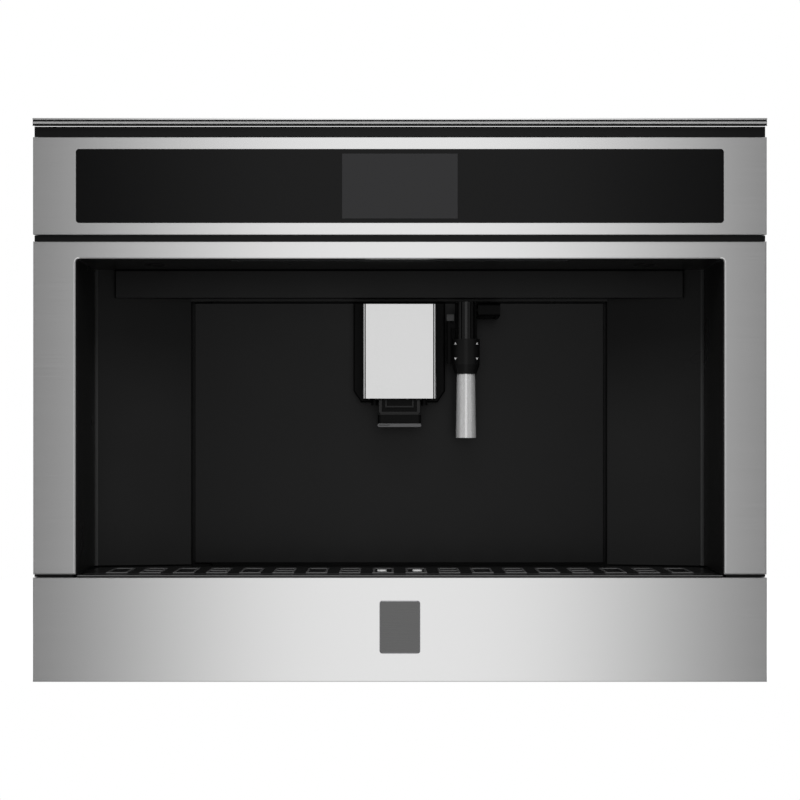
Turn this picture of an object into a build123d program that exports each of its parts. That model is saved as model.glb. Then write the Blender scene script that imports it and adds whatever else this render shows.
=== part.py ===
from build123d import *
import os

# Built-in coffee machine: X to the right, front facing -Y, Z up, millimetres.
# "Depth" is measured backwards from the stainless front plane, heights from the shelf it stands on.

# ---- Overall ----
WIDTH = 595.0
DEPTH = 475.0
TRIM_PROUD = 0.8  # the top trim's lips stand in front of the other fronts
FRONT_Y = TRIM_PROUD - (DEPTH + TRIM_PROUD) / 2
CLEAR = 0.3  # general assembly clearance
SLIDE_CLEAR = 0.5  # clearance between parts that slide past each other
RUN_CLEAR = 0.05  # radial running clearance of a pin in its bore
SHEET = 1.2  # steel sheet of front trims, chassis and rails
OVER = 1.0  # how far a cutting shape passes the face it cuts
SINK = 0.5  # how far a joined shape enters its neighbour

# ---- Stack of the front, from the bottom ----
SHELF_GAP = 0.8
LOWER_PANEL_H = 84.5
TRAY_REVEAL = 2.3
FRAME_H = 270.2
FASCIA_REVEAL = 5.1
FASCIA_H = 79.3
GRIP_BAND_H = 9.0
TOP_TRIM_H = 6.3
SIDE_SETBACK = 0.1  # frame and fascia stand in from the lower panel and top trim
FRONT_T = 20.0  # depth of the folded stainless fronts
FRONT_EDGE_R = 0.9
FRAME_EDGE_R = 1.7  # the niche frame is rolled more softly
TRIM_STEPS = (0.5, 1.8, 3.5, 5.1)  # lip, groove, rib and groove of the top trim, from its bottom
TRIM_GROOVE = 1.6
TRIM_RIB_SETBACK = 0.5
REVEAL_INSET = 0.7  # black reveals stand in from the fronts' ends
REVEAL_DEPTH = 5.0

PANEL_Z = (SHELF_GAP, SHELF_GAP + LOWER_PANEL_H)
FRAME_Z = (PANEL_Z[1] + TRAY_REVEAL, PANEL_Z[1] + TRAY_REVEAL + FRAME_H)
FASCIA_Z = (FRAME_Z[1] + FASCIA_REVEAL, FRAME_Z[1] + FASCIA_REVEAL + FASCIA_H)
FASCIA_MIDDLE = sum(FASCIA_Z) / 2
TRIM_Z = (FASCIA_Z[1] + GRIP_BAND_H, FASCIA_Z[1] + GRIP_BAND_H + TOP_TRIM_H)
FRONT_X = (-WIDTH / 2, WIDTH / 2)
SETBACK_X = (-WIDTH / 2 + SIDE_SETBACK, WIDTH / 2 - SIDE_SETBACK)

# ---- Niche ----
SIDE_BAR_W = 35.0
TOP_BAR_H = 14.4
NICHE_CORNER_R = 3.0
INNER_RETURN = 6.0  # depth of the frame's fold into the niche
NICHE_DEPTH = 128.0  # straight part of the side linings
LINER_WALL = 2.0
LINER_LIFT = 0.8  # lining's lower edge above the frame's
LINER_CORNER_R = 4.5
HEADER_H = 24.1
HEADER_SIDE_GAP = 17.4
HEADER_CORNER_R = 0.8
HEADER_BACK = 5.0  # header reaches behind the door's face
HEADER_END_L = 30.0  # solid ends beside the header's hollow
CAP_X = 205.0
CAP_DEPTH = 68.0
CAP_R = 9.5
CAP_DROP = 2.2
CAP_DOME = ((1.0, 0.15), (0.82, 0.65), (0.5, 1.0))  # shares of its radius and its drop, inwards
NICHE_HALF = SETBACK_X[1] - SIDE_BAR_W
NICHE_TOP = FRAME_Z[1] - TOP_BAR_H
NICHE_BOTTOM = FRAME_Z[0] + LINER_LIFT
HEADER_Z = NICHE_TOP - HEADER_H

# ---- Service door at the back of the niche ----
DOOR_W = 356.0
DOOR_DEPTH = 150.0
DOOR_T = 12.0
DOOR_SKIN = 2.5
DOOR_EDGE_R = 0.6
DOOR_SIDE_GAP = 3.2
DOOR_TOP_GAP = 3.5
DOOR_BOTTOM_GAP = 1.1
DOOR_RIB_T = 1.8
DOOR_RIB_PITCH = 59.0
DOOR_RIB_SETBACK = 3.0  # ribs end short of the door's rear edge
HINGE_INSET = 6.5  # pin axis from the door's edge and from its face
HINGE_PIN_R = 2.0
HINGE_BOSS_R = 4.0
HINGE_BOSS_L = 10.0
BRACKET_T = 2.2
BRACKET_W = 14.0
BRACKET_FOOT_L = 14.0
BRACKET_GAP = 0.7
BRACKET_NOSE = 4.2  # bracket in front of the pin's axis
CATCH_RISE = 40.0
CATCH_H = 18.0
CATCH_T = 3.0
CATCH_INSET = 3.0
CATCH_HOOK = 3.0
DOOR_X = (-DOOR_W / 2, DOOR_W / 2)
DOOR_Z = (NICHE_BOTTOM + DOOR_BOTTOM_GAP, HEADER_Z - DOOR_TOP_GAP)
APERTURE_HALF = DOOR_W / 2 + DOOR_SIDE_GAP
HINGE_X = DOOR_X[0] + HINGE_INSET
HINGE_DEPTH = DOOR_DEPTH + HINGE_INSET

# ---- Chassis behind the front ----
LINER_GAP = 1.4
CARRIER_T = 4.0
CARRIER_LIFT = 2.0
CARRIER_OVERLAP = 5.0  # carrier behind the edges of the control glass
FOOT_H = 6.0
FOOT_R = 12.0
FOOT_TAPER = 2.0
FOOT_INSET = 45.0
BODY_TOP_DROP = 5.9  # chassis top below the top trim
FLANGE = 12.0
LOUVRE_SIZE = (42.0, 4.0)
LOUVRE_PITCH = 9.0
LOUVRE_COUNT = 6
LOUVRE_COLUMN_GAP = 12.0
SIDE_LOUVRE_INSET = (60.0, 30.0)  # from the side sheet's rear and top edges
REAR_LOUVRE_DROP = 40.0
BULKHEAD_GAP = 5.0
BULKHEAD_T = 1.5
BULKHEAD_MARGIN = 12.0  # bulkhead seen inside the door's edges
BULKHEAD_SILL = (3.0, 5.0)  # and inside its bottom and top
SHELF_REACH = (8.0, 50.0, 8.0)  # service shelf past the grounds box, the brewing unit and the rear
BODY_HALF = NICHE_HALF + LINER_WALL + LINER_GAP + SHEET
BODY_DEPTH = (FRONT_T + CARRIER_T, DEPTH)
BODY_Z = (FOOT_H, TRIM_Z[0] - BODY_TOP_DROP)
BULKHEAD_DEPTH = DOOR_DEPTH + DOOR_T + BULKHEAD_GAP

# ---- Telescopic rails ----
RAIL_H = 45.0
RAIL_CENTRE_Z = 60.0
RAIL_W = 12.4
BALL_D = 3.0  # race between two rail members
RAIL_WEB_GAP = 2.2
RAIL_LIP_GAPS = (0.9, 2.0)  # from the machine's side to the lips of the outer and middle rail
RAIL_INNER_W = 7.0
RAIL_START = 30.0
RAIL_L = 440.0
RAIL_INNER_L = 400.0
RAIL_HOLE_R = 2.5
RAIL_HOLE_FIRST = 57.0  # 37 mm behind the cabinet's front edge
RAIL_HOLE_PITCH = 384.0  # a multiple of the cabinet's 32 mm system
RAIL_SCREW_R = 2.0
RAIL_SCREW_L = 6.0
RAIL_SCREW_HEAD = 1.6
RAIL_SCREW_INSET = 40.0
COVER_SCREW_R = 3.5
COVER_SCREW_H = 2.0
COVER_SCREW_EDGE = 0.8
COVER_SCREW_INSET = (30.0, 14.0)  # from the cover's side and front edges

# ---- Drip tray drawer and cup grate ----
TRAY_H = 61.3
TRAY_WALL = 3.0
TRAY_LIP_T = 1.6
TRAY_LIP_LIFT = 0.1
TRAY_LIP_FRONT = 3.0
TRAY_LIP_OVERHANG = 3.0
TRAY_SIDE_GAP = 0.5
TRAY_BACK_GAP = 3.0
TRAY_BEND_GAP = 2.0
TRAY_RIB_X = (-200.0, -80.0, 80.0, 200.0)
TRAY_RIB_T = 6.0
TRAY_RIB_Z = (30.0, -8.0)  # above the panel's bottom and below its top
GRATE_T = 2.0
GRATE_BEARING = 1.5
GRATE_PITCH_X = 27.3
GRATE_PITCH_Y = 35.0
GRATE_HOLE = (13.5, 29.0)
GRATE_LONG_HOLE = 64.0
GRATE_RIM_W = 2.0
GRATE_RIM_H = 0.9
GRATE_RIM_ROOT = 1.0
GRATE_RIM_EDGE = 0.25
GRATE_MARGIN = 2.0
GRATE_BRIDGE = 11.0  # bridge across a cell, under a cup mark
CUP_MARK_R = 4.0
CUP_MARK_T = 1.2
CUP_MARK_OUT = 1.1  # marks stand a little outwards on their bridges
GUIDE_W = 16.0
GUIDE_FENCE_H = 24.0

# ---- Coffee spout ----
SPOUT_FACE_DEPTH = 90.0
SPOUT_PLATE_W = 62.0
SPOUT_PLATE_H = 80.0
SPOUT_TOP_GAP = 4.0  # plate top below the door's top
SPOUT_PLATE_T = 1.5
SPOUT_CORNER_R = 1.2
SPOUT_CHEEK_L = 24.0  # plate's folded sides
SPOUT_GROOVE_INSET = 2.0
SPOUT_GROOVE = 1.0
SPOUT_END_GAP = 0.5  # shell inside the plate's ends
GUIDE_HALF = 39.4
GUIDE_FACE_DEPTH = 124.0
GUIDE_TOP_GAP = 0.6
GUIDE_H = 86.0
GUIDE_CHAMFER = (6.4, 9.6)
GUIDE_EDGE_R = 1.5
TEE_STEM_HALF = 7.0
TEE_HEAD_HALF = 12.0
TEE_HEAD_T = 3.0
TEE_STEM_T = 4.0
TEE_ENDS = (6.0, -4.0)  # above the housing's bottom and below its top
NOZZLE_BLOCK_W = 34.6
NOZZLE_BLOCK_H = 14.1
NOZZLE_FRONT = 3.0  # block behind the plate's face
NOZZLE_REAR = 12.0  # block in front of the housing's face
NOZZLE_EDGE = 2.0
NOZZLE_RIM = 2.4
NOZZLE_RECESS = 2.5
NOZZLE_FRAME_W = 24.0
NOZZLE_FRAME_LIFT = 6.2
NOZZLE_R = 5.0
NOZZLE_TAPER = 1.5
NOZZLE_BORE_R = 2.2
NOZZLE_SPACING = 18.0
LOBE_X = 21.0
LOBE_R = 2.8
LOBE_H = 6.2
LOBE_SETBACK = 9.0
SKIRT_W = 36.8
SKIRT_H = 7.6
SKIRT_WALL = 3.0
SKIRT_CORNER_R = 2.5
SKIRT_PROUD = 2.0  # skirt in front of the nozzle block
GRIP_BAR_H = 2.8
GRIP_BAR_T = 4.0
GRIP_SLOT = (9.0, 1.0)
GRIP_PEG_R = 1.2
GRIP_PEG_L = 4.0
GRIP_PEG_X = 13.0

# ---- Milk frother wand ----
WAND_X = 56.6
WAND_DEPTH = 100.0
WAND_RIB_R = 9.5
WAND_CORE_R = 8.0
WAND_RIB_COUNT = 10
WAND_RIB_TURN = -90.0  # the first rib faces the front
WAND_RIB_W = 2.6
WAND_TOP_GAP = 1.9
WAND_ARM_L = 40.0
WAND_ARM_SINK = 8.5  # arm inside the selector ring
WAND_PIVOT_DROP = 6.5
WAND_PIN_R = 3.0
WAND_PIN_REACH = 2.0  # pin past the wand's axis
RING_R = 11.7
RING_TOP_DROP = 33.4  # ring top below the door's top
RING_CYL_H = 21.6
RING_CONE_H = 7.8
RING_CONE_R = 9.0
RING_BORE_CLEAR = 0.35
RING_FLOOR = 10.0
TUBE_R = 4.0
TUBE_BORE_R = 1.5
TUBE_LIFT = 6.0  # tube's tip above the sleeve's rim
TUBE_CAP = 4.0
SLEEVE_TOP_R = 7.8
SLEEVE_BOTTOM_R = 8.7
SLEEVE_L = 54.2
SLEEVE_GAP = 0.3
SLEEVE_BORE_R = 6.2
SLEEVE_COLLAR_H = 6.0
SLEEVE_COLLAR_SLOPE = 2.0
TAB_X = (40.2, 44.3)
TAB_H = 36.7
TAB_T = 6.0
TAB_RISE = 15.5  # tab's top above the selector ring
TAB_KNOB_W = 6.0
TAB_KNOB_H = 5.4
TAB_FOOT = (6.0, 2.0)  # foot below the tab's top
WAND_BRACKET_GAP = 0.7
WAND_BRACKET_W = 18.6
WAND_BRACKET_H = 11.6
WAND_BRACKET_T = 8.0
WAND_BRACKET_R = 3.0
WAND_BRACKET_WALL = 3.0

# ---- Control fascia ----
GLASS_W = 525.0
GLASS_H = 60.0
GLASS_R = 2.7
GLASS_T = 4.0
GLASS_SETBACK = 0.3
DISPLAY_W = 94.0
DISPLAY_H = 52.4
DISPLAY_T = 7.0
DISPLAY_BEZEL = 3.0
BOARD_T = 1.6
BOARD_W = 300.0
BOARD_MARGIN = 4.0
PLUG_SIZE = (16.0, 6.0, 20.0)
PLUG_X = (-120.0, -95.0, 95.0, 120.0)
STANDOFF_R = 2.5
STANDOFF_INSET = (8.0, 20.0)

# ---- Cup light ----
LENS_W = 277.0
LENS_DEPTH = (10.0, 24.0)
LENS_RECESS = 0.7
LENS_RIM = 0.8
LENS_T = 3.0
LENS_FLANGE = 4.0

# ---- Bean hopper, grinder and doser chute ----
COVER_T = 1.2
HOPPER_LEFT = 40.0
HOPPER_SIDE = 67.0  # from the body's side to the hopper
HOPPER_X = (HOPPER_LEFT, BODY_HALF - HOPPER_SIDE)
HOPPER_DEPTH = (190.0, 330.0)
HOPPER_WALL = 2.5
HOPPER_STRAIGHT_H = 40.0
HOPPER_H = 92.0
HOPPER_THROAT = 44.0
LID_T = 3.0
LID_OVERLAP = 4.0
LID_CORNER_R = 6.0
LID_PIN_R = 1.5
LID_PIN_BACK = 6.0  # pin's axis behind the opening
LID_BARREL_R = 3.0
LID_EAR_W = 5.0
LID_EAR_H = 9.0
LID_EAR_MARGIN = 2.6
LID_EAR_INSET = 22.0
CHUTE_X = (-78.0, -22.0)
CHUTE_DEPTH = (232.0, 288.0)
CHUTE_STRAIGHT_H = 18.0
CHUTE_H = 130.0
CHUTE_THROAT = 26.0
GRINDER_R = 46.0
GRINDER_H = 52.0
GRINDER_WALL = 4.0
GRINDER_RIM = 3.0
SHAFT_HOLE_R = 6.0
BURR_R = 26.0
BURR_H = 22.0
BURR_TAPER = 8.0
BURR_GAP = 0.6
BURR_SETBACK = 2.0
BURR_FLUTES = 8
FLUTE_SIZE = (8.0, 2.4)
FLUTE_INSET = 5.0
SHAFT_R = 5.0
SHAFT_TAIL = 10.0
SHAFT_SOCKET = 12.0
MOTOR_R = 36.0
MOTOR_H = 84.0
MOTOR_BELL = (12.0, 5.0)
MOTOR_NECK = (14.0, 4.0)
MOTOR_EDGE = 4.0
KNOB_STEP = 30.0  # knob's axis beside the hopper
KNOB_X = HOPPER_X[1] + KNOB_STEP
KNOB_DEPTH = 260.0
KNOB_R = 13.0
KNOB_H = 9.0
KNOB_PROUD = 3.0
KNOB_EDGE = 1.0
KNOB_FLUTES = 12
KNOB_FLUTE_R = 2.0
KNOB_FLUTE_OUT = 0.8
KNOB_POINTER = (2.0, 8.0, 1.0)
KNOB_ROOM = 1.0
KNOB_SHAFT_R = 4.0
KNOB_SHAFT_L = 30.0
BUSH_DROP = (26.0, 12.0)
BUSH_WALL = 4.0
BUSH_ARM_W = 7.0

# ---- Brewing parts ----
BREW_X = (-25.0, 65.0)
BREW_DEPTH = (176.0, 290.0)
BREW_H = 190.0
BREW_PLATE_T = 5.0
BREW_BASE_GAP = 78.0  # above the chassis floor
BREW_SLOPE = (30.0, 60.0)  # cut corner of the cheeks
BREW_AXIS = 50.0  # brew cylinder behind the cheeks' front edge
BREW_CYL_R = 27.0
BREW_CYL_H = 62.0
BREW_CYL_LIFT = 60.0
BREW_CYL_FLOOR = 5.0
CARRIAGE_T = 12.0
PISTON_R = 22.0
PISTON_ENTRY = 8.0
PISTON_RING = (5.0, 9.0, 14.0)
PISTON_GROOVE = 2.0
PISTON_NECK = (12.0, 16.0)
HANGER_SIZE = (16.0, 10.0, 20.0)
SPINDLE_R = 5.0
SPINDLE_INSET = 14.0
SPINDLE_TOP = 10.0
BRIDGE_SIZE = (26.0, 14.0)
GEARBOX_SIZE = (35.0, 60.0, 44.0)
GEARBOX_R = 6.0
BREW_MOTOR_R = 15.0
BREW_MOTOR_L = 44.0
GROUNDS_X = (-160.0, -40.0)
GROUNDS_DEPTH = (172.0, 290.0)
GROUNDS_H = 105.0
GROUNDS_WALL = 2.5
GROUNDS_TAPER = 8.0
GROUNDS_LIP = (60.0, 2.5, 14.0)
TANK_W = 84.0
TANK_L = 150.0
TANK_H = 262.0
TANK_WALL = 2.5
TANK_SIDE_GAP = 6.0
TANK_REAR_GAP = 18.0
TANK_TOP_DROP = 1.0
TANK_ROOM = 2.0
TANK_R = 10.0
TANK_OUTLET_R = 7.0
TANK_OUTLET_L = 12.0
TANK_OUTLET_BORE_R = 3.0
TANK_LID_T = 3.0
TANK_LID_INSET = 0.5
TANK_SKIRT = (4.0, 2.0)
TANK_SEAT_H = 26.0
SEAT_INSET = 4.0
SEAT_LEG_T = 4.0
SEAT_SOCKET = 14.0
SEAT_CLEAR = 0.2
BOILER_R = 38.0
BOILER_H = 92.0
BOILER_SIDE_GAP = 16.8  # flange to the side panel
BOILER_GAP = 5.0  # between the two boilers' flanges
BOILER_REAR_GAP = 75.0  # boiler and pump axes in front of the rear sheet
STEAM_BOILER_R = 30.0
STEAM_BOILER_H = 110.0
BOILER_BASE_GAP = 40.0
BOILER_FLANGE = 6.0
BOILER_FLANGE_T = 6.0
BOILER_WAIST = 0.45
BOILER_EDGE = (4.0, 8.0)
BOILER_STUB = (5.0, 8.0)
BOILER_LEG_R = 3.0
BOILER_LEG_ANGLES = (30, 150, 270)
BOILER_DEPTH = DEPTH - BOILER_REAR_GAP
BOILER_X = BODY_HALF - SHEET - BOILER_SIDE_GAP - BOILER_FLANGE - BOILER_R
STEAM_BOILER_X = BOILER_X - BOILER_R - 2 * BOILER_FLANGE - BOILER_GAP - STEAM_BOILER_R
PUMP_DEPTH = DEPTH - BOILER_REAR_GAP
PUMP_R = 22.0
PUMP_NECK = 4.0
PUMP_L = 70.0
PUMP_COIL = 0.5
PUMP_FOOT = (8.0, 30.0)
PUMP_FOOT_AT = 0.38
PUMP_STUB = (5.0, 12.0)
PUMP_BASE_GAP = 12.0
HOSE_R = 3.0
SUCTION_BEND_R = 22.0
PRESSURE_BEND_R = 14.0
HOSE_SETBACK = (60.0, 10.0)
HOSE_SIDE_GAP = 8.0
HOSE_RUN = 41.0  # from the pump's outlet to the riser
HOSE_OVER = 28.0
HOSE_RISE_X = STEAM_BOILER_X - STEAM_BOILER_R - BOILER_FLANGE - HOSE_SIDE_GAP
PUMP_X = HOSE_RISE_X - HOSE_RUN - PUMP_STUB[1] - PUMP_L / 2
POWER_BOARD_H = 110.0
POWER_BOARD_L = 120.0
POWER_BOARD_DEPTH = 190.0
POWER_BOARD_LIFT = 140.0
POWER_BOARD_GAP = 8.0
TRANSFORMER = (26.0, 36.0, 40.0)
RELAY = (14.0, 11.0, 18.0)
RELAY_PITCH = 15.0
RELAY_COUNT = 4
BOARD_PARTS_INSET = 10.0
RELAY_PLACE = (56.0, 60.0)
BOARD_POST_R = 3.0
BOARD_POST_INSET = 6.0

# ---- Rear connections ----
INLET_SIDE = 62.0  # inlet's middle from the body's side
SWITCH_STEP = 37.0  # switch beside the inlet
INLET_X = BODY_HALF - INLET_SIDE
SWITCH_X = INLET_X - SWITCH_STEP
SWITCH_Z = 60.0
SWITCH_SIZE = (28.0, 21.0)
SWITCH_BODY_L = 20.0
SWITCH_WALL = 2.5
SWITCH_WELL = 12.0
ROCKER_PIVOT_DROP = 6.0
ROCKER_BACK = 2.5  # rocker in front of its pivot
ROCKER_ROOM = 1.0
ROCKER_FACE = (3.4, 1.6, 0.6)  # rocker's face below the frame: bottom, middle and top
ROCKER_SLOPE = 2.0
TRUNNION_R = 1.0
TRUNNION_L = 1.0
TRUNNION_END_GAP = 0.2
INLET_SIZE = (27.0, 19.5)
INLET_CAVITY = (23.0, 15.5, 16.0)
INLET_CORNER = 4.0
INLET_BRIDGE_INSET = 2.0
INLET_PIN = (4.0, 2.0, 10.0)
INLET_PIN_SPACING = 7.0
INLET_PIN_LIFT = 2.0

LOW = (Align.CENTER, Align.CENTER, Align.MIN)


# ---- Helpers ----
def block(x, depth, z):
    """Box between a low and a high value of x, of depth and of height."""
    corner = Pos(x[0], FRONT_Y + depth[0], z[0])
    size = (x[1] - x[0], depth[1] - depth[0], z[1] - z[0])
    return corner * Box(*size, align=(Align.MIN, Align.MIN, Align.MIN))


def grown(pair, amount):
    """The same range, longer by amount at both ends."""
    return (pair[0] - amount, pair[1] + amount)


def around(centre, width):
    """Range of a width about its centre."""
    return (centre - width / 2, centre + width / 2)


def post(x, depth, z, radius):
    """Upright cylinder."""
    return Pos(x, FRONT_Y + depth, z[0]) * Cylinder(radius, z[1] - z[0], align=LOW)


def rod_x(x, depth, z, radius):
    """Cylinder lying along X."""
    return Pos(x[0], FRONT_Y + depth, z) * Rot(0, 90, 0) * Cylinder(radius, x[1] - x[0], align=LOW)


def rod_y(x, depth, z, radius):
    """Cylinder lying along the depth."""
    length = depth[1] - depth[0]
    return Pos(x, FRONT_Y + depth[0], z) * Rot(-90, 0, 0) * Cylinder(radius, length, align=LOW)


def plan_prism(points, z):
    """Outline of (x, depth) points, drawn upwards between two heights."""
    line = Polyline(*[(x, FRONT_Y + depth, z[0]) for x, depth in points], close=True)
    return extrude(make_face(line), z[1] - z[0], dir=(0, 0, 1))


def side_prism(points, x):
    """Outline of (depth, z) points, drawn along X."""
    line = Polyline(*[(x[0], FRONT_Y + depth, z) for depth, z in points], close=True)
    return extrude(make_face(line), x[1] - x[0], dir=(1, 0, 0))


def front_prism(points, depth):
    """Outline of (x, z) points, drawn backwards between two depths."""
    line = Polyline(*[(x, FRONT_Y + depth[0], z) for x, z in points], close=True)
    return extrude(make_face(line), depth[1] - depth[0], dir=(0, 1, 0))


def mirrored(points):
    """Closed outline from its right half, listed from the front to the back."""
    return points + [(-x, depth) for x, depth in reversed(points)]


def upright_edges(shape):
    return shape.edges().filter_by(Axis.Z)


def front_edges(shape):
    return shape.edges().group_by(Axis.Y)[0]


def other_side(shape):
    return mirror(shape, about=Plane.YZ)


def turned(points):
    """Solid of revolution of (radius, z) points about the Z axis."""
    return revolve(make_face(Polyline(*[(r, 0, z) for r, z in points], close=True)), Axis.Z)


def standing(x, depth, shape):
    """A shape made about the Z axis, set at its place."""
    return Pos(x, FRONT_Y + depth, 0) * shape


def tapered(x, depth, low_x, low_depth, z):
    """Box that narrows evenly from its top ranges to its bottom ranges."""
    across = [(low_x[0], z[0]), (low_x[1], z[0]), (x[1], z[1]), (x[0], z[1])]
    along = [(low_depth[0], z[0]), (low_depth[1], z[0]), (depth[1], z[1]), (depth[0], z[1])]
    return front_prism(across, depth) & side_prism(along, x)


def rounded_box(x, depth, z, radius):
    """Box with rounded upright edges."""
    body = block(x, depth, z)
    return fillet(upright_edges(body), radius)


def funnel(x, depth, top, straight, height, throat, wall):
    """Open box that tapers to a square throat, open at both ends."""
    waist = top - straight

    def form(shrink, spare):
        mouth_x = grown(x, -shrink)
        mouth_depth = grown(depth, -shrink)
        low_x = around(sum(x) / 2, throat - 2 * shrink)
        low_depth = around(sum(depth) / 2, throat - 2 * shrink)
        upper = block(mouth_x, mouth_depth, (waist, top + spare))
        return upper + tapered(mouth_x, mouth_depth, low_x, low_depth, (top - height, waist))

    return form(0, 0) - form(wall, OVER)


# ---- Stainless front ----
def folded_front(x, z):
    """Front of folded sheet: a shallow tray, open to the rear, with soft front edges."""
    shell = fillet(front_edges(block(x, (0, FRONT_T), z)), FRONT_EDGE_R)
    return shell - block(grown(x, -SHEET), (SHEET, FRONT_T + OVER), grown(z, -SHEET))


def lower_panel():
    return folded_front(FRONT_X, PANEL_Z)


def frame_outline(inset):
    """Upside-down U of the niche frame, drawn in by an inset on every side."""
    outer_x = SETBACK_X[1] - inset
    inner_x = NICHE_HALF + inset
    low = FRAME_Z[0] + inset
    high = FRAME_Z[1] - inset
    under = NICHE_TOP + inset
    return [
        (outer_x, low), (outer_x, high), (-outer_x, high), (-outer_x, low),
        (-inner_x, low), (-inner_x, under), (inner_x, under), (inner_x, low),
    ]


def niche_frame():
    """Folded frame: full-depth outer sides, and a short fold into the niche."""
    body = front_prism(frame_outline(0), (0, FRONT_T))
    body = fillet(inner_corners(body), NICHE_CORNER_R)
    body = fillet(front_edges(body), FRAME_EDGE_R)
    hollow = front_prism(frame_outline(SHEET), (SHEET, FRONT_T + OVER))
    reach = NICHE_HALF + LINER_WALL + CLEAR
    behind = (INNER_RETURN, FRONT_T + OVER)
    behind_fold = block((-reach, reach), behind, (0, NICHE_TOP + LINER_WALL + CLEAR))
    return body - hollow - behind_fold


def inner_corners(body):
    """The frame's two inner top corners."""
    edges = body.edges().filter_by(Axis.Y)
    high = edges.filter_by(lambda edge: abs(edge.center().Z - NICHE_TOP) < CLEAR)
    return high.filter_by(lambda edge: abs(abs(edge.center().X) - NICHE_HALF) < CLEAR)


def control_fascia():
    window = block(around(0, GLASS_W), (-OVER, FRONT_T), around(FASCIA_MIDDLE, GLASS_H))
    window = fillet(window.edges().filter_by(Axis.Y), GLASS_R)
    return folded_front(SETBACK_X, FASCIA_Z) - window


def control_glass():
    depth = (GLASS_SETBACK, GLASS_SETBACK + GLASS_T)
    width = GLASS_W - 2 * CLEAR
    pane = block(around(0, width), depth, around(FASCIA_MIDDLE, GLASS_H - 2 * CLEAR))
    pane = fillet(pane.edges().filter_by(Axis.Y), GLASS_R - CLEAR)
    return chamfer(front_edges(pane), CLEAR)


def display_module():
    """Touch display: a framed screen behind the glass, on its circuit board."""
    start = GLASS_SETBACK + GLASS_T
    body = block(around(0, DISPLAY_W), (start, start + DISPLAY_T), around(FASCIA_MIDDLE, DISPLAY_H))
    screen_z = around(FASCIA_MIDDLE, DISPLAY_H - 2 * DISPLAY_BEZEL)
    screen_x = around(0, DISPLAY_W - 2 * DISPLAY_BEZEL)
    return body - block(screen_x, (start - OVER, start + SINK), screen_z) + control_board()


def control_board():
    """Circuit board on the display's back: connectors, and stand-offs to the glass."""
    glass_back = GLASS_SETBACK + GLASS_T
    start = glass_back + DISPLAY_T
    back = start + BOARD_T
    board_z = around(FASCIA_MIDDLE, GLASS_H - 2 * BOARD_MARGIN)
    board = block(around(0, BOARD_W), (start, back), board_z)
    width, length, height = PLUG_SIZE
    for x in PLUG_X:
        board += block(around(x, width), (back, back + length), around(FASCIA_MIDDLE, height))
    for x in grown(around(0, BOARD_W), -STANDOFF_INSET[0]):
        for z in grown(FASCIA_Z, -STANDOFF_INSET[1]):
            board += rod_y(x, (glass_back, start + SINK), z, STANDOFF_R)
    return board


def top_trim():
    """Moulded stainless strip: a lip, a set-back rib and an upper lip, with grooves between."""
    low, high = TRIM_Z
    first, second, third, fourth = (low + step for step in TRIM_STEPS)
    lip = -TRIM_PROUD
    rib = lip + TRIM_RIB_SETBACK
    floor = lip + TRIM_GROOVE
    web = floor + SHEET
    back = FRONT_T + CARRIER_T
    profile = [
        (lip, low), (lip, first), (floor, first), (floor, second), (rib, second), (rib, third),
        (floor, third), (floor, fourth), (lip, fourth), (lip, high), (back, high),
        (back, high - SHEET), (web, high - SHEET), (web, low),
    ]
    return side_prism(profile, FRONT_X)


def front_carrier():
    """Moulded carrier behind the fronts, with ribs that fill the reveals between them."""
    plate_x = grown(SETBACK_X, -CLEAR - SHEET)
    depth = (FRONT_T, FRONT_T + CARRIER_T)
    plate = block(plate_x, depth, (BODY_Z[0] + CARRIER_LIFT, TRIM_Z[0]))
    reveal_x = grown(SETBACK_X, -REVEAL_INSET)
    reveal = (REVEAL_DEPTH, FRONT_T + OVER)
    plate += block(reveal_x, reveal, grown((FRAME_Z[1], FASCIA_Z[0]), -CLEAR))
    plate += block(reveal_x, reveal, (FASCIA_Z[1] + CLEAR, TRIM_Z[0]))
    plate += block(reveal_x, reveal, grown((PANEL_Z[1], FRAME_Z[0]), -CLEAR))
    liner_x = NICHE_HALF + LINER_WALL + LINER_GAP / 2
    through = (0, depth[1] + OVER)
    niche = block((-liner_x, liner_x), through, (0, NICHE_TOP + LINER_WALL + CLEAR))
    pocket_x = around(0, GLASS_W - 2 * CARRIER_OVERLAP)
    pocket = block(pocket_x, through, around(FASCIA_MIDDLE, GLASS_H - CARRIER_OVERLAP))
    lens_x = grown(around(0, LENS_W), LENS_FLANGE + SLIDE_CLEAR)
    lens_notch = block(lens_x, through, (NICHE_TOP, NICHE_TOP + LINER_WALL + LENS_T + CLEAR))
    return plate - niche - pocket - lens_notch


# ---- Niche ----
def niche_plan(inset):
    """Half plan of the niche's inner face, from the mouth to the door aperture."""
    return [
        (NICHE_HALF - inset, INNER_RETURN + CLEAR),
        (NICHE_HALF - inset, NICHE_DEPTH - inset / 2),
        (APERTURE_HALF - inset / 2, DOOR_DEPTH - inset),
    ]


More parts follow.
